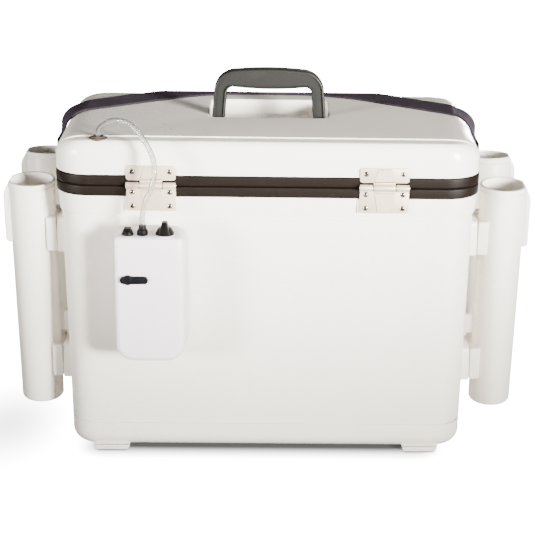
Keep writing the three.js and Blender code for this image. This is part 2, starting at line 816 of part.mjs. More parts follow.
function lowerLeaf() {
  const face = -(rimDepth / 2 + seam + leafThickness);
  const top = hingeAxisHeight - leafGap;
  const inner = middleKnuckle / 2 + knuckleGap;
  const knuckles = [...knuckle(-hingeWidth / 2, -inner, -1), ...knuckle(inner, hingeWidth / 2, -1)];
  const screws = lowerScrew_shares.flatMap((share) => [-1, 1].map((side) =>
    screwHead(side * screwSpacing / 2, face, lowerLeafFoot + share * (top - lowerLeafFoot), -1)));
  const bore = crosswise(barrelBore, -hingeWidth, hingeWidth, hingeAxisY, hingeAxisHeight);
  return carve(join(leafPlate(lowerLeafFoot, top), ...knuckles,
    leafEmboss(top - embossRise, lowerLeafFoot + embossRise), ...screws), bore);
}

for (const [sideName, side] of sides) {
  const x = side * hingeSpacing / 2;
  add(`hinge_upper_leaf_${sideName}`, upperLeaf(), steel, lid).position.x = x;
  add(`hinge_lower_leaf_${sideName}`, lowerLeaf(), steel).position.x = x;
  add(`hinge_pin_${sideName}`, crosswise(hingePinRadius, -hingeWidth / 2, hingeWidth / 2,
    hingeAxisY, hingeAxisHeight), steel).position.x = x;
}

// Front latches: a hook on a pin that swings up over a ledge on the lid; stored hanging open
function latchBase() {
  const back = rimDepth / 2 + seam;
  const face = back + leafThickness;
  const plate = block([-latchPlateWidth / 2, latchPlateWidth / 2], [back, face],
    [stepHeight + padMargin + seam, bodyRimTop - bandEdge]);
  const ear = new THREE.Shape();
  ear.absarc(latchAxisY, latchAxisHeight, earRadius, -quarterTurn, quarterTurn);
  ear.lineTo(face - seam, latchAxisHeight + earRadius);
  ear.lineTo(face - seam, latchAxisHeight - earRadius);
  const earFoot = latchArmWidth / 2 + seam;
  const ears = [[-earFoot - earThickness, -earFoot], [earFoot, earFoot + earThickness]]
    .map(([x0, x1]) => alongX(ear, x0, x1));
  const screwX = (latchPlateWidth / 2 + earFoot + earThickness) / 2;
  const screws = [-1, 1].map((side) => screwHead(side * latchScrewX_share * screwX, face,
    latchAxisHeight + earRadius + screwRadius + screwRise, 1));
  const bore = crosswise(latchPinRadius + seam, -latchPlateWidth, latchPlateWidth,
    latchAxisY, latchAxisHeight);
  return carve(join(plate, ...ears, ...screws), bore);
}

// The hook hangs down from its pin: seen along X, z falls from the pin at the shape's zero.
function latchArm() {
  const half = latchPlate / 2;
  const end = -latchArmLength;
  const nibTop = end + nibThickness;
  const blade = alongX(polygon([
    [-half, 0], [-half, end], [-half - tabReach, end - tabLength], [half - tabReach, end - tabLength],
    [half, end], [nibReach, end], [nibReach, nibTop], [half, nibTop], [half, 0],
  ]), -latchArmWidth / 2, latchArmWidth / 2);
  const barrel = crosswise(latchBarrelRadius, -latchArmWidth / 2, latchArmWidth / 2, 0, 0);
  const bore = crosswise(latchPinRadius + seam, -latchArmWidth, latchArmWidth, 0, 0);
  return carve(join(blade, barrel), bore);
}

function latchCatch() {
  const back = rimDepth / 2 + seam;
  const face = back + leafThickness;
  const ledgeTop = latchAxisHeight + latchArmLength - nibThickness - seam;
  const plate = block([-latchPlateWidth / 2, latchPlateWidth / 2], [back, face],
    [catchFoot, catchFoot + catchHeight]);
  const ledge = block([-latchArmWidth / 2, latchArmWidth / 2], [face - seam, face + ledgeReach],
    [ledgeTop - ledgeThickness, ledgeTop]);
  const screwX = (latchPlateWidth + latchArmWidth) / 4;
  const screws = [-1, 1].map((side) => screwHead(side * screwX, face,
    catchFoot + catchHeight / 2, 1));
  return join(plate, ledge, ...screws);
}

for (const [sideName, side] of sides) {
  const x = side * latchSpacing / 2;
  const earSpan = latchArmWidth / 2 + seam + earThickness;
  add(`latch_base_${sideName}`, latchBase(), steel).position.x = x;
  add(`latch_pin_${sideName}`, crosswise(latchPinRadius, -earSpan, earSpan, 0, 0), steel)
    .position.set(x, latchAxisY, latchAxisHeight);
  add(`latch_arm_${sideName}`, latchArm(), steel).position.set(x, latchAxisY, latchAxisHeight);
  add(`latch_catch_${sideName}`, latchCatch(), steel, lid).position.x = x;
}

// Rod holders: drained tubes with a lip, a flat outer pad and two mounting blocks each
function rodTube(side) {
  const lip = tubeMouthRadius + lipRise;
  const boreFoot = tubeFootRadius - tubeWall;
  const floor = -tubeLength + tubeWall;
  const walls = turned([
    [drainRadius, -tubeLength], [tubeFootRadius - tubeFootEdge, -tubeLength],
    [tubeFootRadius, -tubeLength + tubeFootEdge], [tubeMouthRadius, -lipHeight - lipRise],
    [lip, -lipHeight], [lip, -lipRise], [lip - lipRise, 0], [tubeMouthRadius - tubeWall, 0],
    [boreFoot, floor], [drainRadius, floor], [drainRadius, -tubeLength],
  ], tubeSides);
  const outer = [side * mouthChord * padRoot_share, side * padReach].sort((a, b) => a - b);
  const pad = block(outer, [-padWidth / 2, padWidth / 2], [-padLength, -lipRise]);
  const bevel = alongY(polygon([
    [side * mouthChord, overrun], [side * mouthChord, 0], [side * padReach, -padChamfer],
    [side * (padReach + overrun), -padChamfer], [side * (padReach + overrun), overrun],
  ]), -tubeMouthRadius, tubeMouthRadius);
  const footBevel = alongY(polygon([
    [side * (padReach + seam), -padLength + padFootChamfer], [side * (padReach - padFootChamfer),
      -padLength - seam], [side * (padReach + overrun), -padLength - overrun],
  ]), -tubeMouthRadius, tubeMouthRadius);
  const blocks = [upperMountHeight, lowerMountHeight].map((height) => {
    const z = (height - tubeMouthHeight) / Math.cos(splayAngle);
    const root = tubeFootRadius * mountRoot_share;
    const span = [-side * (tubeOffsetX - mountFace), -side * root].sort((a, b) => a - b);
    return block(span, [-mountWidth / 2, mountWidth / 2], [z - mountHeight / 2, z + mountHeight / 2]);
  });
  const bore = turned([
    [0, floor], [boreFoot, floor], [tubeMouthRadius - tubeWall, 0],
    [tubeMouthRadius - tubeWall, overrun], [0, overrun],
  ], tubeSides);
  return carve(join(walls, ...[pad, ...blocks].map((piece) => carve(piece, bore))), bevel, footBevel);
}

for (const [sideName, side] of sides) {
  for (const [endName, end] of ends) {
    const mesh = add(`rod_holder_${endName}_${sideName}`, rodTube(side), white);
    mesh.position.set(side * tubeOffsetX, end * tubeMouthY, tubeMouthHeight);
    mesh.rotation.x = -end * splayAngle;
  }
}

// Air pump: a deep shell and a shallow cover round the cells, the motor and the pump head
const pump = new THREE.Group();
pump.position.x = pumpX;
assembly.add(pump);

function pumpRing([inset, y]) {
  const back = Math.max(0, 1 + (y + shellBack) / pumpShellDepth);
  const foot = pumpFootRadius - inset;
  const top = pumpTopRadius + back * pumpRearRound - inset;
  const half = pumpWidth / 2 + back * pumpFlare - inset;
  const low = pumpFoot + inset;
  const high = pumpTop - inset;
  const corners = [[half - top, high - top, top], [-half + top, high - top, top],
    [-half + foot, low + foot, foot], [half - foot, low + foot, foot]];
  return corners.flatMap(([x, z, radius], quarter) => Array.from({ length: cornerSteps + 1 },
    (_, step) => {
      const angle = (quarter + step / cornerSteps) * quarterTurn;
      return [x + radius * Math.cos(angle), y, z + radius * Math.sin(angle)];
    }));
}

// A tray from its closed face at one depth to its open face at another
function pumpTray(closed, open) {
  const inward = Math.sign(open - closed);
  return loft([
    [pumpEdge, closed], [0, closed + inward * pumpEdge], [0, open], [pumpWall, open],
    [pumpWall, closed + inward * (pumpEdge + pumpWall)], [pumpEdge + pumpWall, closed + inward * pumpWall],
  ].map(pumpRing));
}

function pumpShell() {
  const throat = barbStemRadius + seam;
  return carve(pumpTray(-shellBack, -shellBack - pumpShellDepth),
    upright(throat, pumpTop - pumpWall - overrun, pumpTop + overrun, barbX, -fittingY));
}

function turnLatch() {
  const arm = roundedShape(-turnLatchTail, turnLatchLength - turnLatchTail,
    -turnLatchWidth / 2, turnLatchWidth / 2, turnLatchWidth * latchRound_share);
  const hub = new THREE.Shape().absarc(0, 0, turnLatchHub, 0, 4 * quarterTurn);
  const armBack = turnLatchThickness * latchArm_share;
  return join(alongY(arm, -turnLatchThickness, -turnLatchThickness + armBack),
    alongY(hub, -turnLatchThickness + armBack * latchHubSink_share, 0));
}

function dryCell() {
  const top = cellLength - cellNubRise;
  return turned([[0, 0], [cellRadius, 0], [cellRadius, top], [cellNubRadius, top],
    [cellNubRadius, cellLength], [0, cellLength]], cellSides);
}

function knob() {
  const foot = knobPadRise + seam;
  const body = turned([[0, foot], [knobBaseRadius, foot], [knobTopRadius, foot + knobBaseRise],
    [0, foot + knobBaseRise]], cellSides);
  const half = pointerWidth / 2;
  const pointer = block([-half, half], [-knobBaseRadius, knobTopRadius],
    [foot + knobBaseRise / 2, foot + knobRise]);
  return join(body, pointer);
}

function hoseBarb() {
  const inside = -pumpWall - barbStemRise;
  return turned([[0, inside], [barbStemRadius, inside], [barbStemRadius, seam], [barbRadius, seam],
    [barbRadius, barbBaseRise], [0, barbBaseRise]]);
}

function pumpHead() {
  const half = headWidth / 2;
  const y = -(shellBack + pumpWall + seam);
  const top = pumpTop - pumpWall - 2 * barbStemRise;
  const box = block([barbX - half, barbX + half], [y - headDepth, y], [top - headHeight, top]);
  const neck = upright(barbStemRadius, top - seam, top + barbStemRise - seam, barbX, -fittingY);
  return join(box, neck);
}

function pumpMotor() {
  const top = pumpTop - pumpWall - 2 * barbStemRise - headHeight - seam;
  const y = -(shellBack + pumpWall + seam + motorRadius);
  return upright(motorRadius, top - motorLength, top, barbX, y, cellSides);
}

const shellMiddleY = -(shellBack + pumpDepth / 2);
const cellFoot = pumpFoot + pumpWall + cellRise;
add('pump_hanger', alongY(roundedShape(-hangerWidth / 2, hangerWidth / 2,
  pumpTop - hangerTopDrop - hangerHeight, pumpTop - hangerTopDrop, pumpTopRadius / 2),
-hangerBack - hangerThickness, -hangerBack), pumpWhite, pump);
add('pump_shell', pumpShell(), pumpWhite, pump);
add('pump_battery_cover', pumpTray(-coverBack - pumpCoverDepth, -coverBack), pumpWhite, pump);
add('pump_turn_latch', turnLatch(), blackPlastic, pump)
  .position.set(turnLatchX, -turnLatchBack, turnLatchHeight);
add('pump_head', pumpHead(), blackPlastic, pump);
add('pump_motor', pumpMotor(), steel, pump);
for (const [sideName, side] of sides) {
  add(`pump_cell_${sideName}`, dryCell(), cellSleeve, pump)
    .position.set(side * (cellRadius + seam), shellMiddleY, cellFoot);
}
add('pump_contact_plate', block([-2 * cellRadius, 2 * cellRadius],
  [shellMiddleY - cellNubRadius, -(shellBack + pumpWall + seam)],
  [cellFoot + cellLength + seam, cellFoot + cellLength + seam + contactThickness]), brassPlate, pump);
add('pump_socket', turned([[0, seam], [socketRadius, seam], [socketRadius, socketRise],
  [0, socketRise]]), blackPlastic, pump).position.set(socketX, -fittingY, pumpTop);
add('pump_socket_cap', turned([[0, socketRise + seam], [capRadius, socketRise + seam],
  [capRadius, socketRise + capRise], [capRadius - capLip, socketRise + capRise + capLip],
  [0, socketRise + capRise + capLip]]), blackPlastic, pump).position.set(socketX, -fittingY, pumpTop);
add('pump_hose_barb', hoseBarb(), blackPlastic, pump).position.set(barbX, -fittingY, pumpTop);
add('pump_knob_pad', turned([[0, seam], [knobPadRadius, seam], [knobPadRadius, knobPadRise],
  [0, knobPadRise]], cellSides), pumpWhite, pump).position.set(knobX, -fittingY, pumpTop);
add('pump_knob', knob(), blackPlastic, pump).position.set(knobX, -fittingY, pumpTop);

// Air line: the hose over the barb and up to the lid, the hose inside, and the air stone
function airStone() {
  const nipple = crosswise(hoseRadius, -stoneNipple - seam, stoneLength / 2, 0, 0, hoseSides);
  return join(crosswise(stoneRadius, 0, stoneLength, 0, 0), nipple);
}

add('air_hose_outer', hoseAlong(outerHoseRoute, hoseRadius, outerHoseSteps), hoseClear);
add('air_hose_inner', hoseAlong(innerHoseRoute, hoseRadius, innerHoseSteps), hoseClear);
add('air_stone', airStone(), stoneBlue)
  .position.set(stoneX - stoneLength / 2, stoneY, stoneHeight);

// Carry strap: webbing clamped to brackets on the lid's sides, laid over the lid. Its route is
// drawn on the lid's skin laid flat, where a distance past the flat top runs down over the edge.
const skinRadius = lidEdgeRadius + lidCrown + seam + strapThickness / 2;
const skinHeight = lidTopHeight - lidCrown - lidEdgeRadius;
const flatX = rimWidth / 2 - lidWallInset - lidEdgeRadius;
const flatY = rimDepth / 2 - lidWallInset - lidEdgeRadius;
const sideReach = lidEdgeRadius + lidWallInset + strapSideGap;
const strapEndFlat = flatX + skinRadius * quarterTurn + skinHeight - lidShellFoot - seam;

// How far out a flat distance lies, the cosine of its turn over the edge, and how far it hangs
function overEdge(flat, distance, reach) {
  const past = Math.max(0, Math.abs(distance) - flat);
  const angle = Math.min(past / skinRadius, quarterTurn);
  const out = Math.min(Math.abs(distance), flat) + reach * Math.sin(angle);
  return [Math.sign(distance) * out, Math.cos(angle), past - skinRadius * angle];
}

function onLid([flatAlongX, flatAlongY], lift) {
  const [x, cosX, hangX] = overEdge(flatX, flatAlongX, sideReach + lift);
  const [y, cosY, hangY] = overEdge(flatY, flatAlongY, skinRadius + lift);
  return [x, y, skinHeight + (skinRadius + lift) * cosX * cosY - hangX - hangY];
}

// The right half of the flat route, from the front middle: a bend, a straight, a bend, an end run
const straightRun = (strapEndFlat - strapEndRun - (strapFrontBend + strapSideBend)
  * Math.sin(strapDiagonal)) / Math.cos(strapDiagonal);
const strapHalf = strapFrontBend * strapDiagonal + straightRun + strapSideBend * strapDiagonal
  + strapEndRun;

function strapPoint(distance) {
  const frontArc = Math.min(distance, strapFrontBend * strapDiagonal);
  const straight = Math.min(Math.max(distance - frontArc, 0), straightRun);
  const sideArc = Math.min(Math.max(distance - frontArc - straight, 0), strapSideBend * strapDiagonal);
  const rest = distance - frontArc - straight - sideArc;
  const front = frontArc / strapFrontBend;
  const side = strapDiagonal - sideArc / strapSideBend;
  const heading = sideArc > 0 ? side : front;
  return {
    across: [Math.sin(heading), Math.cos(heading)],
    at: [
      strapFrontBend * Math.sin(front) + straight * Math.cos(strapDiagonal)
        + strapSideBend * (Math.sin(strapDiagonal) - Math.sin(side)) + rest,
      flatY + strapFrontReach - strapFrontBend * (1 - Math.cos(front))
        - straight * Math.sin(strapDiagonal)
        - strapSideBend * (Math.cos(side) - Math.cos(strapDiagonal)),
    ],
  };
}

function strap() {
  const columns = Array.from({ length: strapColumns + 1 }, (_, column) =>
    strapWidth * (column / strapColumns - 1 / 2));
  return loft(Array.from({ length: strapSteps + 1 }, (_, step) => {
    const along = strapHalf * ((2 * step) / strapSteps - 1);
    const mirror = along < 0 ? -1 : 1;
    const { at, across } = strapPoint(Math.abs(along));
    const row = (lift) => columns.map((w) =>
      onLid([mirror * (at[0] + w * across[0]), at[1] + w * across[1]], lift));
    return [...row(strapThickness / 2), ...row(-strapThickness / 2).reverse()];
  }));
}

function strapClamp(side) {
  const skin = rimWidth / 2 - lidWallInset + seam;
  const middle = flatX + sideReach;
  const inner = middle - strapThickness / 2 - seam;
  const outer = middle + strapThickness / 2 + seam;
  const y = strapPoint(strapHalf).at[1];
  const z = lidShellFoot + seam;
  const slotHalf = strapWidth / 2 + seam;
  const span = (x0, x1) => [side * x0, side * x1].sort((a, b) => a - b);
  const bracket = block(span(skin, outer + clampPlate), [y - slotHalf - clampLip,
    y + slotHalf + clampLip], [z, z + clampHeight]);
  return carve(bracket, block(span(inner, outer), [y - slotHalf, y + slotHalf],
    [z - clampHeight, z + 2 * clampHeight]));
}

add('carry_strap', strap(), webbing, lid);
for (const [sideName, side] of sides) {
  add(`strap_clamp_${sideName}`, strapClamp(side), blackPlastic, lid);
}

export default part;
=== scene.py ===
# %% [markdown]
# # An insulated live bait well in Blender
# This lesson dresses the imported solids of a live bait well: a foam-filled plastic box with a
# hinged lid, a folding carry handle, four rod holders, and a battery air pump whose clear hose
# goes through the lid. Every visible piece is a surface worked out with numpy and given its own
# finish. The solids stay as the frame: they say where each piece belongs and what moves it.

# %% Frame
import bmesh
import bpy
import numpy as np
from mathutils import Matrix, Vector


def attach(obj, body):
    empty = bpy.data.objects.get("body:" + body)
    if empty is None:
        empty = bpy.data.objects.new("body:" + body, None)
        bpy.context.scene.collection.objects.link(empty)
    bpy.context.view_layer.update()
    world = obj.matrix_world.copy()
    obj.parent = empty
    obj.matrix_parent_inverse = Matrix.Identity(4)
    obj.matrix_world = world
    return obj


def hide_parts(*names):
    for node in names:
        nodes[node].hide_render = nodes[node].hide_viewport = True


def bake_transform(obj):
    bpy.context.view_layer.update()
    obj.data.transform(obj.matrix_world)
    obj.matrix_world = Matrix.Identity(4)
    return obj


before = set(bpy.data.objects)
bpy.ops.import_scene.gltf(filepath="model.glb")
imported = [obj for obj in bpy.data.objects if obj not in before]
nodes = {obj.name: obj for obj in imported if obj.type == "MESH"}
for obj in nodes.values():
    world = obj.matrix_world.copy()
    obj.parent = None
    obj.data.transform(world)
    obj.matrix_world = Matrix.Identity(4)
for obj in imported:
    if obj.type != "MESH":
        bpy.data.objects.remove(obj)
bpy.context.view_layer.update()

# %% [markdown]
# ## Measures
# The drawings of the real box are in millimetres, measured from the middle of its body in plan and
# from the ground upwards. Blender works in metres, and the part's origin lies 22 mm behind that
# middle, because the pump reaches further back than the latches reach forward. One function turns
# drawing measures into places, so that every other cell can keep to plain millimetres.

# %% Millimetres to metres
BODY_MIDDLE = np.array([0.0, 22.0, 0.0])


def in_metres(points):
    """Drawing millimetres to metres in the part's frame: (point + body's middle) / 1000."""
    return (np.asarray(points, float) + BODY_MIDDLE) / 1000.0


RIM_X, RIM_Y, RIM_CORNER = 254.0, 142.0, 42.0
LID_TOP, LID_FOOT, EDGE_Z = 402.0, 361.0, 376.8
TUB_FOOT, TUB_TOP, STEP, GROOVE = 4.6, 335.0, 310.0, 39.4
HANDLE_PIVOT, RECESS_FLOOR = 393.0, 383.0
HINGE_X, HINGE_Y, HINGE_Z = 137.6, -146.1, 350.0
LATCH_X, LATCH_Y, LATCH_Z = 150.0, 149.5, 322.0
SHEET = (142.3, 143.8)
TUBE_X, TUBE_Y, TUBE_Z, TUBE_FOOT = 289, 71, 335.5, -293.5
TUBE_LEAN, LUG_FACE, LUG_HEIGHTS = 0.0590, 257.7, (270.5, 99.8)
PUMP_X, PUMP_FOOT, PUMP_TOP, FITTINGS_Y = -138.4, 146.0, 300.0, -180.0
GROMMET = (-200.0, -124.0, 0)
LEFT_RIGHT, REAR_FRONT = (("left", -1), ("right", 1)), (("rear", -1), ("front", 1))
print("rim", 2 * RIM_X, "by", 2 * RIM_Y, "mm, lid top at", LID_TOP, "mm")

# %% [markdown]
# ## Camera
# The picture was taken from behind the box and a little above it. The camera's place, its three
# directions and its focal length were fitted to corners that can be measured on the box, such as
# the rim's ends and the handle. The picture is cropped off the lens's middle, which is what the
# small shift stands for.

# %% Camera at the picture's angle
forward = Vector((0.022153, 0.937391, -0.347574)).normalized()
right = Vector((0.999711, -0.017507, 0.016503)).normalized()
above = right.cross(forward).normalized()
right = forward.cross(above).normalized()
lens = bpy.data.cameras.new("studio_camera")
lens.lens, lens.sensor_width = 104.41, 36.0
lens.shift_x, lens.shift_y = -0.0761, 0.0713
lens.clip_end = 60.0
camera = bpy.data.objects.new("studio_camera", lens)
turn = Matrix((right, above, -forward)).transposed().to_4x4()
camera.matrix_world = Matrix.Translation((0.00825, -1.88397, 0.85405)) @ turn
bpy.context.scene.collection.objects.link(camera)
bpy.context.scene.camera = camera
print("camera looks along", tuple(round(v, 3) for v in forward))

# %% [markdown]
# ## From a grid of points to a piece
# Almost every piece here is a grid: rows that follow a profile and columns that go round an
# outline. Such a grid could be modelled by hand with loops and extrusions, but as an array it can
# be worked out in one step and its size changed later. The cell below turns grids into one mesh,
# closes their ends, welds the doubles and makes the faces look outwards.

# %% Skins
def skin(grid, around=True, along=False, capped=True):
    """A grid (rows, columns, 3) as corners and faces: each cell joins a row to the next one.

    around closes the columns, along closes the rows, and capped fills the first and last row."""
    grid = np.asarray(grid, float)
    rows, columns = grid.shape[:2]
    r = np.arange(rows if along else rows - 1)[:, None]
    c = np.arange(columns if around else columns - 1)[None, :]
    low, high = r * columns, ((r + 1) % rows) * columns
    beside = (c + 1) % columns
    quads = np.stack([low + c, low + beside, high + beside, high + c], -1).reshape(-1, 4)
    faces = quads.tolist()
    if capped and not along:
        faces.append(list(range(columns))[::-1])
        faces.append(list(range((rows - 1) * columns, rows * columns)))
    return grid.reshape(-1, 3), faces


# %% From skins to an object
def piece(name, skins, material, body, stands_for, crease=35.0, outward=True):
    """One object from several skins: corners in drawing millimetres become places in metres.

    A skin that brings a finish of its own keeps it, such as the screws on a steel leaf."""
    corners, faces, looks, first = [], [], [], 0
    for points, cells, *other in skins:
        corners.append(in_metres(points))
        faces += [[i + first for i in cell] for cell in cells]
        looks += [len(other)] * len(cells)
        first += len(points)
    mesh = bpy.data.meshes.new(name)
    mesh.from_pydata(np.vstack(corners).tolist(), [], faces)
    mesh.materials.append(material)
    if any(looks):
        mesh.materials.append(next(other[0] for _, _, *other in skins if other))
        mesh.polygons.foreach_set("material_index", looks)
    work = bmesh.new()
    work.from_mesh(mesh)
    bmesh.ops.remove_doubles(work, verts=work.verts, dist=1e-6)
    bmesh.ops.dissolve_degenerate(work, edges=work.edges, dist=1e-6)
    if outward:
        bmesh.ops.recalc_face_normals(work, faces=work.faces)
    work.to_mesh(mesh)
    work.free()
    mesh.shade_smooth()
    mesh.set_sharp_from_angle(angle=np.radians(crease))
    made = bpy.data.objects.new(name, mesh)
    bpy.context.scene.collection.objects.link(made)
    if body:
        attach(made, body)
    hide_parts(*stands_for)
    print(name, "faces", len(mesh.polygons))
    return made


# %% [markdown]
# ## Outlines and profiles
# A moulded part is drawn as an outline seen from one side and a profile that says how far each
# level is drawn in from it. Rounding is part of both: no moulded edge is sharp, and the light
# catches exactly there. So one function rounds the corners of any line with true arcs, and
# another draws an outline in by an inset, level by level. An outline travels with its outward
# directions, because the insets are measured along them.

# %% Rounded outlines
REAR_ON = {"u": (1, 0, 0), "v": (0, 0, 1), "w": (0, -1, 0)}
FRONT_ON = {"u": (1, 0, 0), "v": (0, 0, 1), "w": (0, 1, 0)}
SIDE_ON = {"u": (0, 1, 0), "v": (0, 0, 1), "w": (1, 0, 0)}


def eased(corners, steps=6):
    """A line with arcs for corners: each arc touches both sides at radius / tan(half the angle).

    A corner is (x, y, radius), or only (x, y) where the line stays sharp."""
    points, out = np.array([corner[:2] for corner in corners], float), []
    for i, (corner, given) in enumerate(zip(points, corners)):
        if len(given) == 2:
            out.append(corner[None])
            continue
        back, ahead = points[i - 1] - corner, points[(i + 1) % len(points)] - corner
        reach = 0.49 * min(np.hypot(*back), np.hypot(*ahead))
        back, ahead = back / np.hypot(*back), ahead / np.hypot(*ahead)
        half = np.arccos(np.clip(back @ ahead, -1, 1)) / 2
        touch = min(given[2] / np.tan(half), reach)
        radius = touch * np.tan(half)
        middle = corner + (back + ahead) / np.hypot(*(back + ahead)) * radius / np.sin(half)
        start, end = corner + back * touch - middle, corner + ahead * touch - middle
        sweep = np.pi - 2 * half
        s = np.linspace(0, 1, steps + 1)[:, None]
        out.append(middle + (np.sin((1 - s) * sweep) * start + np.sin(s * sweep) * end)
                   / np.sin(sweep))
    return np.vstack(out)


def drawn(corners, steps=6):
    """An eased counter-clockwise outline, and outwards as the mean of both sides' right turns."""
    outline = eased(corners, steps)
    before, after = outline - np.roll(outline, 1, 0), np.roll(outline, -1, 0) - outline
    before = before / np.hypot(*before.T)[:, None]
    after = after / np.hypot(*after.T)[:, None]
    normal = np.stack([(before + after)[:, 1], -(before + after)[:, 0]], 1)
    normal = normal / np.hypot(*normal.T)[:, None]
    miter = (before[:, 1] * normal[:, 0] - before[:, 0] * normal[:, 1])
    return outline, normal / np.clip(miter, 0.5, 1)[:, None]


def rectangle(x0, x1, y0, y1, radii, steps=5, side_steps=2):
    """A rectangle with arcs for corners, counter-clockwise from the right front corner.

    Gives points and outward directions; radii are for (x1,y1), (x0,y1), (x0,y0), (x1,y0)."""
    radius = np.broadcast_to(np.asarray(radii, float), 4)[:, None, None]
    corner = np.array([(x1, y1), (x0, y1), (x0, y0), (x1, y0)], float)[:, None]
    inwards = np.array([(-1, -1), (1, -1), (1, 1), (-1, 1)])[:, None]
    angle = (np.arange(4)[:, None] + np.linspace(0, 1, steps + 1)) * np.pi / 2
    outward = np.stack([np.cos(angle), np.sin(angle)], -1)
    arcs = corner + inwards * radius + radius * outward
    share = np.linspace(0, 1, side_steps + 1)[1:-1, None]
    sides = arcs[:, -1:] + share * (np.roll(arcs, -1, 0)[:, :1] - arcs[:, -1:])
    square = np.repeat(outward[:, -1:], len(share), 1)
    return (np.concatenate([arcs, sides], 1).reshape(-1, 2),
            np.concatenate([outward, square], 1).reshape(-1, 2))


# %% Levels, plates and turned shapes
def levels(shape, profile, origin=(0, 0, 0), u=(1, 0, 0), v=(0, 1, 0), w=(0, 0, 1)):
    """Rings (rows, columns, 3): outline minus inset times outward in u-v, depth along w."""
    outline, outward = shape
    profile = np.asarray(profile, float)
    flat = outline - profile[:, :1, None] * outward
    u, v, w, origin = (np.asarray(a, float) for a in (u, v, w, origin))
    return origin + flat[..., :1] * u + flat[..., 1:] * v + profile[:, 1:, None] * w


def soft_rims(d0, d1, edge, steps=3):
    """Insets and depths of two quarter rounds, from d0 upwards and up to d1."""
    a = np.linspace(0, np.pi / 2, steps + 1)
    return (np.stack([edge - edge * np.sin(a), d0 + edge - edge * np.cos(a)], 1),
            np.stack([edge - edge * np.cos(a), d1 - edge + edge * np.sin(a)], 1))


def soft_slab(shape, depth, edge, **place):
    """A plate between two depths whose two rims are quarter rounds of the edge radius."""
    return skin(levels(shape, np.vstack(soft_rims(*depth, edge)), **place))


def lathe(corners, centre=(0, 0, 0), axis="z", sides=48, closed=False, steps=6):
    """An eased profile of (radius, height) turned about an axis through the centre."""
    profile = eased(corners, steps)
    angle = np.linspace(0, 2 * np.pi, sides, endpoint=False)
    radius, height = profile[:, :1], np.repeat(profile[:, 1:], sides, 1)
    a, b = radius * np.cos(angle), radius * np.sin(angle)
    order = {"z": (a, b, height), "y": (b, height, a), "x": (height, a, b)}[axis]
    return skin(np.stack(order, -1) + np.asarray(centre, float), along=closed, capped=not closed)


BOX = rectangle(-RIM_X, RIM_X, -RIM_Y, RIM_Y, RIM_CORNER, 12, 8)
print("box outline has", len(BOX[0]), "points")

# %% [markdown]
# ## Finishes: shared detail
# The same small effects return on several materials: the fine grain that a mould leaves on
# plastic, and the faint marks that handling and dust leave on any surface. Each is a node group
# built once. A group gives only a number or a mask, and every material decides with its own shader
# what that means for colour, roughness or relief. Short helpers add a node and feed its sockets.

# %% Helpers that add nodes
def feed(socket, value):
    """Link a socket to an input, or set the input to a plain number or colour."""
    if isinstance(value, bpy.types.NodeSocket):
        socket.id_data.links.new(value, socket)
    else:
        socket.default_value = (*value, 1.0) if socket.type == "RGBA" else value


def fill(made, **values):
    """Feed inputs and set properties by name, with _ for a space."""
    for key, value in values.items():
        label = key.replace("_", " ")
        if label in made.inputs:
            feed(made.inputs[label], value)
        else:
            setattr(made, key, value)
    return made


def node(tree, kind, **values):
    """A shader node with its values; gives its outputs."""
    return fill(tree.nodes.new("ShaderNode" + kind), **values).outputs


def math(kind, a, b=0.0, clamp=False):
    """A Math node fed with sockets or plain numbers; a is a socket."""
    made = a.id_data.nodes.new("ShaderNodeMath")
    made.operation, made.use_clamp = kind, clamp
    feed(made.inputs[0], a)
    feed(made.inputs[1], b)
    return made.outputs[0]


def times(a, b, clamp=False):
    """a * b."""
    return math("MULTIPLY", a, b, clamp)


# %% Helpers for patterns and colours
def map_range(value, low, high, start=0.3, end=0.7):
    """A value between start and end, spread from low to high."""
    return node(value.id_data, "MapRange", Value=value, From_Min=start, From_Max=end,
                To_Min=low, To_Max=high)[0]


def mix_colour(factor, a, b):
    """Colour a to colour b by a factor; 6, 7 and 2 are the Mix node's sockets for colours."""
    made = factor.id_data.nodes.new("ShaderNodeMix")
    made.data_type = "RGBA"
    for socket, value in zip((made.inputs["Factor"], *made.inputs[6:8]), (factor, a, b)):
        feed(socket, value)
    return made.outputs[2]


def noise(place, scale, detail=2.0, rough=0.5):
    """Noise at a scale, as one number."""
    return node(place.id_data, "TexNoise", Vector=place, Scale=scale, Detail=detail,
                Roughness=rough)[0]


def stretched(place, scale, rotation=(0, 0, 0)):
    """Coordinates turned and drawn out along the axes."""
    return node(place.id_data, "Mapping", Vector=place, Rotation=rotation, Scale=scale)[0]


def relief(height, strength, distance):
    """A normal bent by a height, with a strength and a depth in metres."""
    return node(height.id_data, "Bump", Height=height, Strength=strength, Distance=distance)[0]


def object_place(tree):
    """Object coordinates, which stay with the piece."""
    return node(tree, "TexCoord")["Object"]


# %% Node groups for mould grain and handling marks
def new_group(name, inputs, outputs):
    """An empty shader group with number inputs and outputs, and its two end nodes."""
    group = bpy.data.node_groups.new(name, "ShaderNodeTree")
    for label, start in inputs:
        socket = group.interface.new_socket(label, in_out="INPUT", socket_type="NodeSocketFloat")
        socket.default_value = start
    for label in outputs:
        group.interface.new_socket(label, in_out="OUTPUT", socket_type="NodeSocketFloat")
    return group, group.nodes.new("NodeGroupInput").outputs, group.nodes.new("NodeGroupOutput")


def build_grain():
    """Height = fine noise at the grain's scale + half as much at a third of it."""
    tree, start, end = new_group("mould_grain", [("Grain", 900.0), ("Swell", 14.0)],
                                 ["Height", "Swell"])
    place = object_place(tree)
    fine = noise(place, start["Grain"], 3.0, 0.6)
    coarse = noise(place, times(start["Grain"], 0.33), 1.0)
    fill(end, Height=math("ADD", fine, times(coarse, 0.5)),
         Swell=noise(place, start["Swell"]))
    return tree


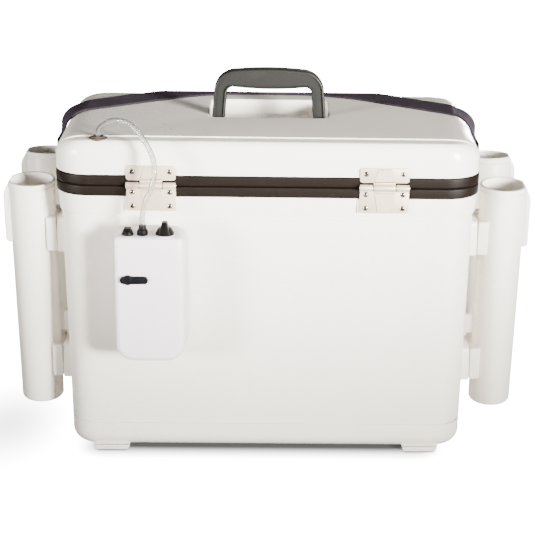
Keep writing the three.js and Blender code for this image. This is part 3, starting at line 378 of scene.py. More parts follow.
def build_marks():
    """Marks = thin stretched noise above a threshold (hairlines) + soft blotches of dust."""
    tree, start, end = new_group("handling_marks", [("Hairlines", 0.62), ("Dust", 6.0)],
                                 ["Hairlines", "Dust"])
    place = object_place(tree)
    lines = []
    for turned, stretch in ((0.5, (30.0, 900.0, 60.0)), (-0.9, (700.0, 25.0, 90.0))):
        streak = noise(stretched(place, stretch, (0.3, turned, turned)), 1.0)
        over = math("SUBTRACT", streak, start["Hairlines"])
        lines.append(times(over, 14.0, clamp=True))
    fill(end, Hairlines=math("MAXIMUM", *lines), Dust=noise(place, start["Dust"], 5.0, 0.7))
    return tree


GRAIN, MARKS = build_grain(), build_marks()
print("groups", GRAIN.name, MARKS.name)

# %% [markdown]
# ## Finishes: plastics, rubber and metal
# The box, lid, rod holders and pump are white polypropylene and styrene: satin, very finely
# grained, and never one flat colour. One function makes every moulded finish from two colours, a
# roughness range, a grain size and a relief, and one makes pressed stainless steel, whose brushing
# runs along the leaf. Colours are linear values, mixed by the slow swell of the grain group.

# %% Moulded and metal finishes
def shader(name):
    """A node material, its tree and its Principled shader."""
    made = bpy.data.materials.new(name)
    made.use_nodes = True
    return made, made.node_tree, made.node_tree.nodes["Principled BSDF"]


def moulded(name, light, dark, rough=(0.36, 0.44), grain=1100.0, depth=0.00003, strength=0.35,
            level=0.5, metal=0.0):
    """Moulded plastic or rubber: swell picks the colour, dust and hairlines the roughness."""
    made, tree, surface = shader(name)
    grains = node(tree, "Group", node_tree=GRAIN, Grain=grain, Swell=9.0)
    marks = node(tree, "Group", node_tree=MARKS)
    tone = mix_colour(map_range(grains["Swell"], 0.0, 1.0), light, dark)
    worn = tuple(min(1.0, c * 1.12 + 0.01) for c in light)
    lines = times(marks["Hairlines"], 0.12)
    even = map_range(marks["Dust"], *rough)
    fill(surface, Base_Color=mix_colour(lines, tone, worn), Metallic=metal,
         Roughness=math("ADD", even, times(lines, 0.3)), Specular_IOR_Level=level,
         Normal=relief(grains["Height"], strength, depth))
    return made


def pressed_steel(name, light, dark, rough=(0.26, 0.38), along=(8.0, 700.0, 700.0), metal=1.0):
    """Stainless sheet: noise stretched along the brushing, which turns into fine relief."""
    made, tree, surface = shader(name)
    brushed = noise(stretched(object_place(tree), along), 1.0, 4.0, 0.7)
    marks = node(tree, "Group", node_tree=MARKS, Dust=40.0)
    fill(surface, Base_Color=mix_colour(map_range(marks["Dust"], 0.0, 1.0), light, dark),
         Roughness=map_range(brushed, *rough), Metallic=metal,
         Normal=relief(brushed, 0.12, 0.00002))
    return made


# %% Finishes of the box, the pump and the metal
WHITE = moulded("white_polypropylene", (0.87, 0.825, 0.750), (0.85, 0.805, 0.730), (0.25, 0.33))
LINER = moulded("liner_plastic", (0.82, 0.81, 0.78), (0.80, 0.79, 0.76), (0.45, 0.52))
BROWN = moulded("brown_rim_plastic", (0.0061, 0.0038, 0.0026), (0.0053, 0.0033, 0.0022),
                (0.46, 0.56), grain=700.0, depth=0.00005, level=0.12)
GREY = moulded("grey_handle_plastic", (0.0096, 0.0100, 0.0086), (0.0084, 0.0087, 0.0075),
               (0.44, 0.54), grain=650.0, depth=0.00006, level=0.2)
BLACK = moulded("black_plastic", (0.0032, 0.0030, 0.0029), (0.0026, 0.0024, 0.0023),
                (0.34, 0.46), grain=900.0, level=0.10)
BLUE_BLACK = moulded("blue_black_plastic", (0.0036, 0.0040, 0.0058), (0.0030, 0.0033, 0.0048),
                     (0.30, 0.40), grain=900.0, level=0.2)
SCREW_STEEL = moulded("screw_steel", (0.42, 0.39, 0.35), (0.34, 0.31, 0.28), (0.16, 0.24),
                      grain=1800.0, strength=0.1, metal=1.0)
DARK_RUBBER = moulded("gasket_rubber", (0.030, 0.029, 0.028), (0.022, 0.021, 0.020), (0.7, 0.85),
                      level=0.3)
GROMMET_RUBBER = moulded("grommet_rubber", (0.060, 0.046, 0.036), (0.048, 0.037, 0.029),
                         (0.55, 0.68), grain=500.0, level=0.2)
PUMP_WHITE = moulded("pump_styrene", (0.73, 0.690, 0.715), (0.71, 0.672, 0.697), (0.30, 0.38),
                     grain=1400.0, depth=0.00002)
FOAM = moulded("insulating_foam", (0.72, 0.62, 0.38), (0.62, 0.53, 0.32), (0.85, 0.95),
               grain=350.0, depth=0.0006, strength=0.8, level=0.1)
STEEL = pressed_steel("stainless_leaf", (0.76, 0.63, 0.50), (0.71, 0.58, 0.45), (0.42, 0.52),
                      metal=0.55)
TURNED_STEEL = pressed_steel("turned_steel", (0.80, 0.77, 0.72), (0.70, 0.67, 0.62),
                             along=(700.0, 700.0, 8.0))
BRASS = pressed_steel("contact_brass", (0.78, 0.60, 0.26), (0.68, 0.50, 0.20))
CELL = moulded("cell_sleeve", (0.050, 0.062, 0.075), (0.040, 0.050, 0.062), (0.25, 0.35),
               grain=1500.0, metal=0.3)
print("finishes", len(bpy.data.materials))

# %% [markdown]
# ## Finishes: hose, webbing and air stone
# The hose is clear PVC, so light goes through it and its edges look darker than its middle: a
# transmitting shader on a tube that really has a wall, and painted shade greys its rims on top.
# The
# strap is woven: its threads cross in rows, which a pair of sine waves over the strap's own length
# and width gives as relief and as painted shade in the gaps, and a darker strip runs along both
# sides. The air stone is sintered grit, all pores.

# %% Clear hose
def clear_hose():
    """Clear PVC: transmission with a faint haze, and painted shade that greys the rim."""
    made, tree, surface = shader("clear_hose_pvc")
    grains = node(tree, "Group", node_tree=GRAIN, Grain=300.0, Swell=30.0)
    clear = mix_colour(map_range(grains["Swell"], 0.0, 1.0), (0.97, 0.98, 0.97),
                       (0.93, 0.945, 0.935))
    # Painted shade: the colour turns grey at the rims, where the surface turns away from view.
    rim = map_range(node(tree, "LayerWeight", Blend=0.35)["Facing"], 0.0, 0.8, 0.25, 0.9)
    fill(surface, Base_Color=mix_colour(rim, clear, (0.42, 0.42, 0.40)), IOR=1.42,
         Roughness=map_range(grains["Swell"], 0.03, 0.07), Transmission_Weight=0.95,
         Normal=relief(grains["Height"], 0.1, 0.00003))
    return made


# %% Woven nylon
def build_weave():
    """Threads = |sin along| and |sin across| a half step apart, the greater one on top."""
    tree, start, end = new_group("webbing_weave", [("Along", 520.0), ("Across", 620.0)],
                                 ["Height", "Edge"])
    length, width, _ = node(tree, "SeparateXYZ", Vector=node(tree, "UVMap")[0])
    row = times(width, start["Across"])
    shifted = math("ADD", times(length, start["Along"]),
                   times(math("FLOOR", row), 0.5))
    warp, weft = (math("ABSOLUTE", math("SINE", times(turns, 3.14159)))
                  for turns in (row, shifted))
    over = math("ADD", times(weft, 0.7), 0.3)
    side = math("ABSOLUTE", math("SUBTRACT", width, 0.0225))
    fill(end, Height=times(warp, over),
         Edge=times(math("SUBTRACT", side, 0.0195), 900.0, clamp=True))
    return tree


def webbing():
    """Woven nylon: painted shade makes the gaps darker than the thread crowns, and the edges are
    darker.
    """
    made, tree, surface = shader("nylon_webbing")
    weave = node(tree, "Group", node_tree=build_weave())
    grains = node(tree, "Group", node_tree=GRAIN, Grain=2500.0, Swell=25.0)
    # Painted shade: the colour goes dark where the weave's height is low, in the gaps between
    # threads.
    thread = mix_colour(weave["Height"], (0.014, 0.011, 0.0145), (0.052, 0.040, 0.054))
    faded = mix_colour(map_range(grains["Swell"], 0.0, 0.35), thread, (0.058, 0.047, 0.060))
    edged = times(weave["Edge"], 0.5)
    fill(surface, Base_Color=mix_colour(edged, faded, (0.012, 0.009, 0.0125)),
         Roughness=map_range(weave["Height"], 0.9, 0.62, 0.0, 1.0), Specular_IOR_Level=0.12,
         Normal=relief(weave["Height"], 0.8, 0.0004))
    return made


# %% Sintered stone
def sintered_stone():
    """Grit and pores: the distance within each cell gives the grains their colour and relief."""
    made, tree, surface = shader("sintered_air_stone")
    grit = node(tree, "TexVoronoi", Vector=object_place(tree), Scale=900.0)["Distance"]
    fill(surface, Base_Color=mix_colour(grit, (0.16, 0.27, 0.38), (0.05, 0.10, 0.16)),
         Roughness=0.95, Normal=relief(grit, 0.9, 0.0006))
    return made


HOSE, WEBBING, STONE = clear_hose(), webbing(), sintered_stone()

# %% [markdown]
# ## Air hose
# One clear hose leads from the pump's barb up past the hinge and down through the grommet, and on
# inside to an air stone on the floor. It could be a curve with a bevel, but a clear hose needs a
# wall, so it is a tube with an outer and an inner skin along a smooth line. It crosses the hinge
# line, so it is attached to neither body nor lid, and its line and length are kept in metres.

# %% Hose routes
OUTER_ROUTE = [(-145.4, -180, 304.2), (-145.4, -180.4, 321.5), (-140.4, -180.4, 342.5),
               (-134, -179, 357.2), (-130.7, -176, 373.4), (-131.7, -171.5, 387),
               (-138.1, -165, 401.1), (-148.7, -156.5, 414.7), (-163.7, -146.5, 425.5),
               (-181.1, -137.5, 425.4), (-194.8, -129, 416.5), (-199.1, -124.7, 410.5),
               (-200, -124, 405), (-200, -124, 398)]
INNER_ROUTE = [(-200, -124, 397.5), (-200, -124, 389), (-198.6, -117, 379),
               (-196.4, -105.6, 369.5), (-195, -99, 358), (-194.6, -97.6, 345),
               (-193, -94, 310), (-189, -80, 250), (-186, -62, 180), (-185, -40, 115),
               (-180, -18, 72), (-166, -4, 52), (-150, 0, 48.2), (-139.6, 0, 47.6)]
HOSE_OUTSIDE, HOSE_BORE = 3.175, 2.15


# %% Smooth line and tube
def smooth_line(points, samples):
    """A smooth line through all points, knots = running sum of gap ^ 0.5, cut in equal steps."""
    p = np.asarray(points, float)
    p = np.vstack([2 * p[0] - p[1], p, 2 * p[-1] - p[-2]])
    knots = np.concatenate([[0], np.cumsum(np.linalg.norm(np.diff(p, axis=0), axis=1) ** 0.5)])
    t = np.linspace(knots[1], knots[-2], 40 * len(points))
    i = np.clip(np.searchsorted(knots, t, side="right") - 1, 1, len(p) - 3)
    k = [knots[i + n][:, None] for n in (-1, 0, 1, 2)]
    q = [p[i + n] for n in (-1, 0, 1, 2)]
    t = t[:, None]
    mix = lambda a, b, ka, kb: ((kb - t) * a + (t - ka) * b) / (kb - ka)
    a1, a2, a3 = (mix(q[n], q[n + 1], k[n], k[n + 1]) for n in range(3))
    b1, b2 = mix(a1, a2, k[0], k[2]), mix(a2, a3, k[1], k[3])
    line = mix(b1, b2, k[1], k[2])
    reach = np.concatenate([[0], np.cumsum(np.linalg.norm(np.diff(line, axis=0), axis=1))])
    even = np.linspace(0, reach[-1], samples)
    return np.stack([np.interp(even, reach, line[:, n]) for n in range(3)], 1), reach[-1]


def tube_rings(line, radius, sides=20):
    """Circles square to a line: centre + radius (cos a * side + sin a * top)."""
    along = np.gradient(line, axis=0)
    along /= np.linalg.norm(along, axis=1)[:, None]
    side = np.cross(along, np.array([0.0, 1.0, 0.0]))
    side /= np.linalg.norm(side, axis=1)[:, None]
    top = np.cross(side, along)
    angle = np.linspace(0, 2 * np.pi, sides, endpoint=False)
    return (line[:, None] + radius * (np.cos(angle)[None, :, None] * side[:, None]
                                      + np.sin(angle)[None, :, None] * top[:, None]))


# %% Both hoses
def hose(name, route, stands_for, samples):
    """A hose with a wall: the outer skin goes up the line and the inner skin back down."""
    line, length = smooth_line(route, samples)
    outer, inner = tube_rings(line, HOSE_OUTSIDE), tube_rings(line, HOSE_BORE)
    made = piece(name, [skin(np.vstack([outer, inner[::-1]]), along=True)], HOSE, None,
                 stands_for, crease=60)
    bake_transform(made)
    print(name, "length", round(length, 1), "mm")
    return made, in_metres(line), length / 1000.0


outer_hose, outer_line, outer_length = hose("air_line_outside", OUTER_ROUTE, ["air_hose_outer"],
                                            72)
inner_hose, inner_line, inner_length = hose("air_line_inside", INNER_ROUTE, ["air_hose_inner"],
                                            90)

# %% Air stone
STONE_AT = (-118.0, 0, 47.6)
stone = piece("air_stone_grit", [
    lathe([(0, -18), (9, -18, 1.6), (9, 18, 1.6), (0, 18)], STONE_AT, "x", 40),
    lathe([(0, -21), (3.1, -21, 0.3), (3.1, -19.4, 0.5), (4.6, -19.4, 0.4), (4.6, -17.6, 0.4),
           (0, -17.6)], STONE_AT, "x", 24)], STONE, "body", ["air_stone"])

# %% [markdown]
# ## Tub
# The outer tub is moulded in one piece: drafted walls that lean in towards the floor, a groove low
# down that is cut deep enough to stay dark, and a thicker collar under the rim. One profile of
# insets and heights, carried round the plan, gives all of it. The lugs that the rod holders are
# screwed to, and the flats behind hinges and latches, are small soft blocks set into the wall.

# %% Tub shell
def wall_inset(z):
    """Draft: the wall's inset grows in a straight line from the step down to the groove."""
    return 5.5 + 3.7 * (STEP - z) / (STEP - GROOVE)


def quarter_round(inset, height, wide, tall):
    """Quarter ellipse about (inset, height), level to upright: a tall below zero hangs down."""
    a = np.linspace(0, np.pi / 2, 17)[:, None]
    return np.hstack([inset - wide * np.sin(a), height + tall * np.cos(a)])


at_groove = wall_inset(GROOVE)
tub_wall = eased([(wall_inset(27), 27), (at_groove, GROOVE - 1.0, 0.3),
                  (at_groove + 2.5, GROOVE - 2.4, 0.2), (at_groove + 2.5, GROOVE + 0.4, 0.2),
                  (at_groove, GROOVE + 1.0, 0.4), (5.5, STEP - 2.8, 0.8), (9.2, STEP - 0.4, 0.5),
                  (3.4, STEP + 1.0, 1.0), (1.6, TUB_TOP, 1.0), (8.8, TUB_TOP, 0.4), (12.4, 27)])
outside, inside = (quarter_round(27.2, TUB_FOOT + 18, r, -r) for r in (18, 15))
tub_profile = np.vstack([[(40, TUB_FOOT)], outside, tub_wall, inside[::-1], [(40, TUB_FOOT + 3)]])
tub_skins = [skin(levels(BOX, tub_profile))]


# %% Lugs and flats
def side_lug(side, end, height):
    """A lug on the side wall: a rounded rectangle in y-z, drawn out along x with a soft rim."""
    along = end * (TUBE_Y - (TUBE_Z - height) * TUBE_LEAN)
    root, face = RIM_X - wall_inset(height) - 1.5, LUG_FACE
    run = np.vstack([[(-1.0, root)], [(-0.7, root + 1.6)],
                     eased([(0, root + 2.4), (0, face, 1.6), (3.8, face)])])
    grid = levels(rectangle(along - 25, along + 25, height - 22.3, height + 22, 4, 6, 3), run,
                  **SIDE_ON)
    grid[..., 0] *= side
    return skin(grid)


for _, side in LEFT_RIGHT:
    tub_skins += [side_lug(side, end, height) for end in (-1, 1) for height in LUG_HEIGHTS]
    for x, half, foot, depth in ((HINGE_X, 31.5, 317, (-142, -136.5)),
                                 (LATCH_X, 24, 312, (136.5, 142))):
        flat = rectangle(side * x - half, side * x + half, foot, TUB_TOP, 3, 4, 2)
        tub_skins.append(soft_slab(flat, depth, 0.5, **FRONT_ON))
piece("tub_shell", tub_skins, WHITE, "body", ["outer_tub"], crease=50)

# %% Feet
foot_line = drawn([(-20.4, 0, 3.6), (20.4, 0, 3.6), (22.8, 8, 0.6), (-22.8, 8, 0.6)])
for label_x, side in LEFT_RIGHT:
    for label_y, end in REAR_FRONT:
        block = soft_slab(foot_line, (-17, 17), 1.2, origin=(side * 194, end * 114, 0), **FRONT_ON)
        piece(f"stand_{label_y}_{label_x}", [block], WHITE, "body",
              [f"foot_{label_y}_{label_x}"])

# %% [markdown]
# ## Liner and rim bands
# A second tray hangs inside the tub, and the gap is filled with foam. A brown band is clipped over
# both walls' top edge, and the lid has its twin, so the closed box shows two bands with a dark
# line between them. Both are rings, closed in both directions: a small profile carried round
# the plan.

# %% Liner and bands
liner = eased([(41, 35.9), (30.6, 35.9, 5), (27.6, TUB_TOP, 0.8), (30, TUB_TOP, 0.8),
               (33, 38.3, 4), (41, 38.3)], 8)
piece("tub_liner", [skin(levels(BOX, liner))], LINER, "body", ["inner_liner"])


def box_ring(name, corners, steps, material, body, stands_for):
    """A closed profile carried round the box's plan."""
    piece(name, [skin(levels(BOX, eased(corners, steps)), along=True)], material, body,
          [stands_for])


for name, foot, top, body, stands_for in (("tub_band", 335.3, 347.7, "body", "body_rim"),
                                          ("lid_band", 348.3, 360.7, "lid", "lid_rim")):
    box_ring(name, [(0, foot, 1.9), (0, top, 1.9), (29.4, top, 0.8), (29.4, foot, 0.8)], 6, BROWN,
             body, stands_for)

# %% [markdown]
# ## Lid
# The lid is a shallow dome with a wide, even round along its edge and a pocket for the folded
# handle. Only along the hinge side the edge is different: the top ends in a low straight riser,
# then comes a level ledge and a tighter round. So the edge is worked out column by column, and the
# two forms are blended by how far a column faces the rear. The pocket's outline has as many points
# as the lid's own, so the surface can run in one piece from the pocket's floor up its wall, over
# the top, round the edge and back underneath. A modeller would cut the pocket with a boolean, but
# this way the rounding stays clean.

# %% Lid shell
pocket = rectangle(-74.5, 74.5, -15, 84, 9, 12, 8)
pocket_wall = eased([(8, RECESS_FLOOR), (0.8, RECESS_FLOOR, 5), (0, LID_TOP - 0.1, 1.8),
                     (-3.4, LID_TOP)])
lid_foot = eased([(0.5, 370), (0.5, LID_FOOT, 0.6), (3.5, LID_FOOT, 0.4), (3.5, 370)], 4)


def lid_edge():
    """Inset and height of every column: a round edge, and behind a low riser to a level ledge.

    The riser runs straight on at y = -114.6 round the corners, inset = 42 - 14.6 / cos, and fades
    out there; plain edge = arc of 24, rear edge = level to 10.5, then an ellipse of 10 by 20."""
    outline, outward = BOX
    rear = np.clip(-outward[:, 1], 0, 1)[None]
    share = rear ** 2
    line = np.clip(RIM_CORNER - 14.6 / np.maximum(rear, 0.2), 8.0, 27.4)
    run = np.linspace(0, 1, 13)[:, None]
    turn = np.sin(np.linspace(0, np.pi / 2, 17))[:, None]
    reach = share * 10 + (1 - share) * (line - 3.3)
    inset = np.vstack([36 + 0 * line, 31 + run * (line + 1.2 - 31),
                       line + np.array([0.5, 0.2, -0.2, -0.5, -1.3])[:, None],
                       0.5 + reach * (1 - turn)])
    crown = 1.2 * np.clip((inset - 24.5) / 11.5, 0, 1) ** 0.5
    plain = EDGE_Z + np.sqrt(np.clip(24 ** 2 - np.clip(24.5 - inset, 0, 24) ** 2, 0, None)) + crown
    level = 382 + 20 * np.sqrt(np.clip(1 - (np.clip(10.5 - inset, 0, 10) / 10) ** 2, 0, None))
    down = np.clip(line + 0.5 - inset, 0, 1)
    step = 1.25 * np.clip((rear - 0.2) / 0.35, 0, 1) * down ** 2 * (3 - 2 * down)
    height = share * level + (1 - share) * plain - step
    return np.concatenate([outline - inset[..., None] * outward, height[..., None]], -1)


under_edge = np.vstack([lid_foot, quarter_round(24.5, EDGE_Z, 21, 21)[::-1], [(36, 398.4)]])
pocket_back = [(-3.4, 398.6), (-3.0, RECESS_FLOOR - 3), (8, RECESS_FLOOR - 3)]
lid_grid = np.concatenate([levels(pocket, pocket_wall), lid_edge(), levels(BOX, under_edge),
                           levels(pocket, pocket_back)])
piece("lid_cover", [skin(lid_grid)], WHITE, "lid", ["lid_shell"], crease=50)

# %% Lid underside and gasket
pan = eased([(41.5, 342), (36, 342, 3), (36, 348.3, 0.8), (29.7, 348.3, 0.6), (29.7, 360.7, 0.5),
             (32.1, 360.7, 0.5), (32.1, 350.7, 0.8), (38.4, 350.7, 0.5), (38.4, 344.4, 2),
             (41.5, 344.4)], 5)
piece("lid_underside", [skin(levels(BOX, pan))], LINER, "lid", ["lid_pan"])
box_ring("lid_seal", [(14, 348.05, 1.5), (20, 348.05, 1.5), (20, 352, 0.6), (14, 352, 0.6)], 5,
         DARK_RUBBER, "lid", "lid_gasket")

# %% [markdown]
# ## Carry handle
# The handle is moulded in one piece: two legs, a deeper grip bar and round feet that turn on pins
# inside the pocket. Its outer and inner edges are two lines with as many points each, so a section
# with rounded corners can be stretched from one to the other. Near the pins the section narrows
# like a coin, which makes the rounded feet.

# %% Handle
HANDLE_DEPTH, HANDLE_ROUND, LEG_LEAN = 9.0, 2.5, 3


def handle_edge(half, top, radius, swell):
    """From the left foot up a leaning leg, round a corner of a radius, over the bar and down."""
    drop = -HANDLE_DEPTH * np.sin(np.linspace(np.pi / 2, 0, 8))
    legs = np.linspace(0, 1, 9)[1:-1]
    arc = np.linspace(0, np.pi / 2, 13)
    span = np.linspace(0, 1, 17)[1:-1]
    low_z = np.concatenate([drop, legs * (top - radius)])
    low_x = -half + LEG_LEAN * np.clip(low_z / (top - radius), 0, 1)
    arc_x = -half + LEG_LEAN + radius * (1 - np.cos(arc))
    arc_z = top - radius + radius * np.sin(arc)
    left = np.stack([np.concatenate([low_x, arc_x]), np.concatenate([low_z, arc_z])], 1)
    bar = np.stack([left[-1, 0] * (1 - 2 * span), top + swell * 4 * span * (1 - span)], 1)
    return np.vstack([left, bar, left[::-1] * (-1, 1)])


# %% Handle piece
outer_edge, inner_edge = handle_edge(71.5, 66.1, 28, 2.0), handle_edge(55.5, 45.3, 8, -2.4)
corner = np.linspace(0, np.pi / 2, 6)
coin = np.sqrt(np.clip(HANDLE_DEPTH ** 2 - outer_edge[:, 1] ** 2, 0.02, None))
half_depth = np.where(outer_edge[:, 1] < 0, coin, HANDLE_DEPTH)
width = np.linalg.norm(inner_edge - outer_edge, axis=1)
soft = np.minimum(HANDLE_ROUND, 0.75 * half_depth)
rings = []
for u0, us, v0, vs in ((0, 1, -1, 1), (1, -1, -1, 1), (1, -1, 1, -1), (0, 1, 1, -1)):
    arc = corner if us * vs < 0 else corner[::-1]
    u = u0 + us * (soft / width)[:, None] * (1 - np.cos(arc))
    v = v0 * half_depth[:, None] + vs * soft[:, None] * (1 - np.sin(arc))
    flat = outer_edge[:, None] + (inner_edge - outer_edge)[:, None] * u[..., None]
    rings.append(np.stack([flat[..., 0], v, flat[..., 1] + HANDLE_PIVOT], -1))
handle_skins = [skin(np.concatenate(rings, 1))]
for _, side in LEFT_RIGHT:
    points, cells = lathe([(0, 60), (4, 60, 0.4), (4, 76.6, 0.8), (0, 76.6)],
                          (0, 0, HANDLE_PIVOT), "x", 28)
    handle_skins.append((points * (side, 1, 1), cells))
piece("folding_handle", handle_skins, GREY, "handle", ["carry_handle"], crease=50)

# %% [markdown]
# ## Hinges
# Two pressed stainless hinges: the upper leaf carries the wide middle knuckle and two screws, the
# lower one the two outer knuckles and four screws. The raised middle of each leaf is a trapezoid
# that a press tool pushes out, so its sides slope. The screw heads are domes with a cross recess,
# worked out as a height over a polar grid.

# %% Screws, leaves and knuckles
LEAF_HALF, KNUCKLE_HALF, KNUCKLE_START = 29.2, 13, 14.2


def screw(x, y, z, facing=-1, radius=3.3, rise=1.7, turned_by=0.4):
    """Dome = rise * (1 - (r/R)^2.4)^0.6, less a cross-shaped recess, facing along y."""
    r = np.concatenate([[0.02], np.linspace(0.15, 1, 13)])[:, None] * radius
    a = np.linspace(0, 2 * np.pi, 40, endpoint=False)[None]
    u, v = r * np.cos(a - turned_by), r * np.sin(a - turned_by)
    dome = rise * np.clip(1 - (r / radius) ** 2.4, 0, 1) ** 0.6
    slim = np.clip((0.62 - np.minimum(abs(u), abs(v))) / 0.2, 0, 1)
    short = np.clip((0.62 * radius - np.maximum(abs(u), abs(v))) / 0.25, 0, 1)
    lift = np.maximum(dome - 1.0 * slim * short, -0.1)
    px, pz = r * np.cos(a), r * np.sin(a)
    grid = np.stack([px + x, y + facing * lift, pz + z], -1)
    back = np.stack([px[-1] + x, np.full(40, y - facing * 0.4), pz[-1] + z], -1)[None]
    return (*skin(np.concatenate([grid, back])), SCREW_STEEL)


def leaf(x, z0, z1, wide, neck):
    """A pressed plate with a raised trapezoid whose sides slope over one millimetre."""
    base = soft_slab(rectangle(x - LEAF_HALF, x + LEAF_HALF, z0, z1, 3.4), SHEET, 0.45, **REAR_ON)
    line = drawn([(x - wide / 2, z0 + 0.8, 1.5), (x + wide / 2, z0 + 0.8, 1.5),
                  (x + neck / 2, z1 - 0.8, 1.5), (x - neck / 2, z1 - 0.8, 1.5)], 4)
    slope = eased([(0, 143.2), (0.2, 143.7, 0.3), (1.2, 145.3, 0.1), (1.45, 145.3)])
    return [base, skin(levels(line, slope, **REAR_ON))]


def knuckle(x0, x1, z0, z1):
    """A rolled ring about the pin with softened ends, and the strip that runs into it."""
    ring = [(2.35, x0), (3.8, x0, 0.5), (3.8, x1, 0.5), (2.35, x1)]
    return [lathe(ring, (0, HINGE_Y, HINGE_Z), "x", 32, closed=True, steps=3),
            soft_slab(rectangle(x0, x1, z0, z1, 0.3, 2, 1), SHEET, 0.3, **REAR_ON)]


def turned_pin(name, half, x, centre, sides, round_end, stands_for):
    """A plain pin of 4 mm along x with rounded ends."""
    ends = [(0, x - half), (2.0, x - half, round_end), (2.0, x + half, round_end), (0, x + half)]
    piece(name, [lathe(ends, centre, "x", sides)], TURNED_STEEL, "body", [stands_for])


# %% Both hinges
for label, side in LEFT_RIGHT:
    x = side * HINGE_X
    upper = leaf(x, 355.4, 373.5, 26, 17) + knuckle(x - KNUCKLE_HALF, x + KNUCKLE_HALF, 350, 357)
    upper += [screw(x + s * 22, -SHEET[1], 366, turned_by=0.3 + s) for s in (-1, 1)]
    piece(f"hinge_lid_leaf_{label}", upper, STEEL, "lid", [f"hinge_upper_leaf_{label}"])
    lower = leaf(x, 318.3, 344.9, 17, 26)
    for x0, x1 in ((x - LEAF_HALF, x - KNUCKLE_START), (x + KNUCKLE_START, x + LEAF_HALF)):
        lower += knuckle(x0, x1, 344, 350)
    lower += [screw(x + s * 22, -SHEET[1], z, turned_by=0.9 * s + z) for s in (-1, 1)
              for z in (324.3, 341.2)]
    piece(f"hinge_tub_leaf_{label}", lower, STEEL, "body", [f"hinge_lower_leaf_{label}"])
    turned_pin(f"hinge_rod_{label}", 29.7, x, (0, HINGE_Y, HINGE_Z), 24, 0.7,
               f"hinge_pin_{label}")

# %% [markdown]
# ## Front latches
# The front isn't in the picture, so the latches are the plain pressed kind that such boxes carry:
# a base with two ears, a hooked arm on a pin, and a catch on the lid that the hook swings over.
# They hang open here. Each is an outline seen from the side or front with softened edges.

# %% Latches
EAR = drawn([(143.6, 315.5), (154.5, 315.5, 5), (154.5, 328.5, 5), (143.6, 328.5)], 8)
BLADE = drawn([(148.5, 322), (148.5, 273, 4), (142.6, 264.2, 0.6), (144.6, 264.2, 0.6),
               (150.5, 273, 1.5), (154.4, 273, 0.5), (154.4, 275, 0.5), (150.5, 275, 0.6),
               (150.5, 322)], 4)
LEDGE = drawn([(143.4, 366.7), (147.9, 366.7, 0.8), (147.9, 368.7, 0.8), (143.4, 368.7)], 4)
for label, side in LEFT_RIGHT:
    x = side * LATCH_X
    axis = (0, LATCH_Y, LATCH_Z)
    width = (x - 13, x + 13)
    base = [soft_slab(rectangle(x - 22, x + 22, 312.3, 346.1, 2.5), SHEET, 0.4, **FRONT_ON)]
    base += [soft_slab(EAR, ends, 0.5, **SIDE_ON)
             for ends in ((x - 16.3, x - 13.3), (x + 13.3, x + 16.3))]
    base += [screw(x + s * 14.3, SHEET[1], 332, 1, turned_by=s) for s in (-1, 1)]
    piece(f"latch_plate_{label}", base, STEEL, "body", [f"latch_base_{label}"])
    turned_pin(f"latch_rod_{label}", 16.3, x, axis, 20, 0.6, f"latch_pin_{label}")
    hub = [(2.35, width[0]), (4, width[0], 0.6), (4, width[1], 0.6), (2.35, width[1])]
    arm = [soft_slab(BLADE, width, 0.4, **SIDE_ON), lathe(hub, axis, "x", 28, True, 3)]
    piece(f"latch_hook_{label}", arm, STEEL, f"latch_arm_{label}", [f"latch_arm_{label}"])
    catch = [soft_slab(rectangle(x - 22, x + 22, 352, 378, 2.5), SHEET, 0.4, **FRONT_ON),
             soft_slab(LEDGE, width, 0.4, **SIDE_ON)]
    catch += [screw(x + s * 17.5, SHEET[1], 365, 1, turned_by=2 * s) for s in (-1, 1)]
    piece(f"latch_keeper_{label}", catch, STEEL, "lid", [f"latch_catch_{label}"])

# %% [markdown]
# ## Rod holders
# Each side carries two drained tubes that lean apart towards their mouths. A tube is turned from
# one profile, outside up and bore down. Its flat outer pad and the two blocks that meet the tub's
# lugs are soft outlines whose roots follow the tube's own wall, so they neither float off it nor
# show inside the bore. A pair of cheeks beside each block hides where tube and block meet.

# %% Rod holder
SPLAY, TUBE_WALL = np.arcsin(17.3 / 293.51), 26.4


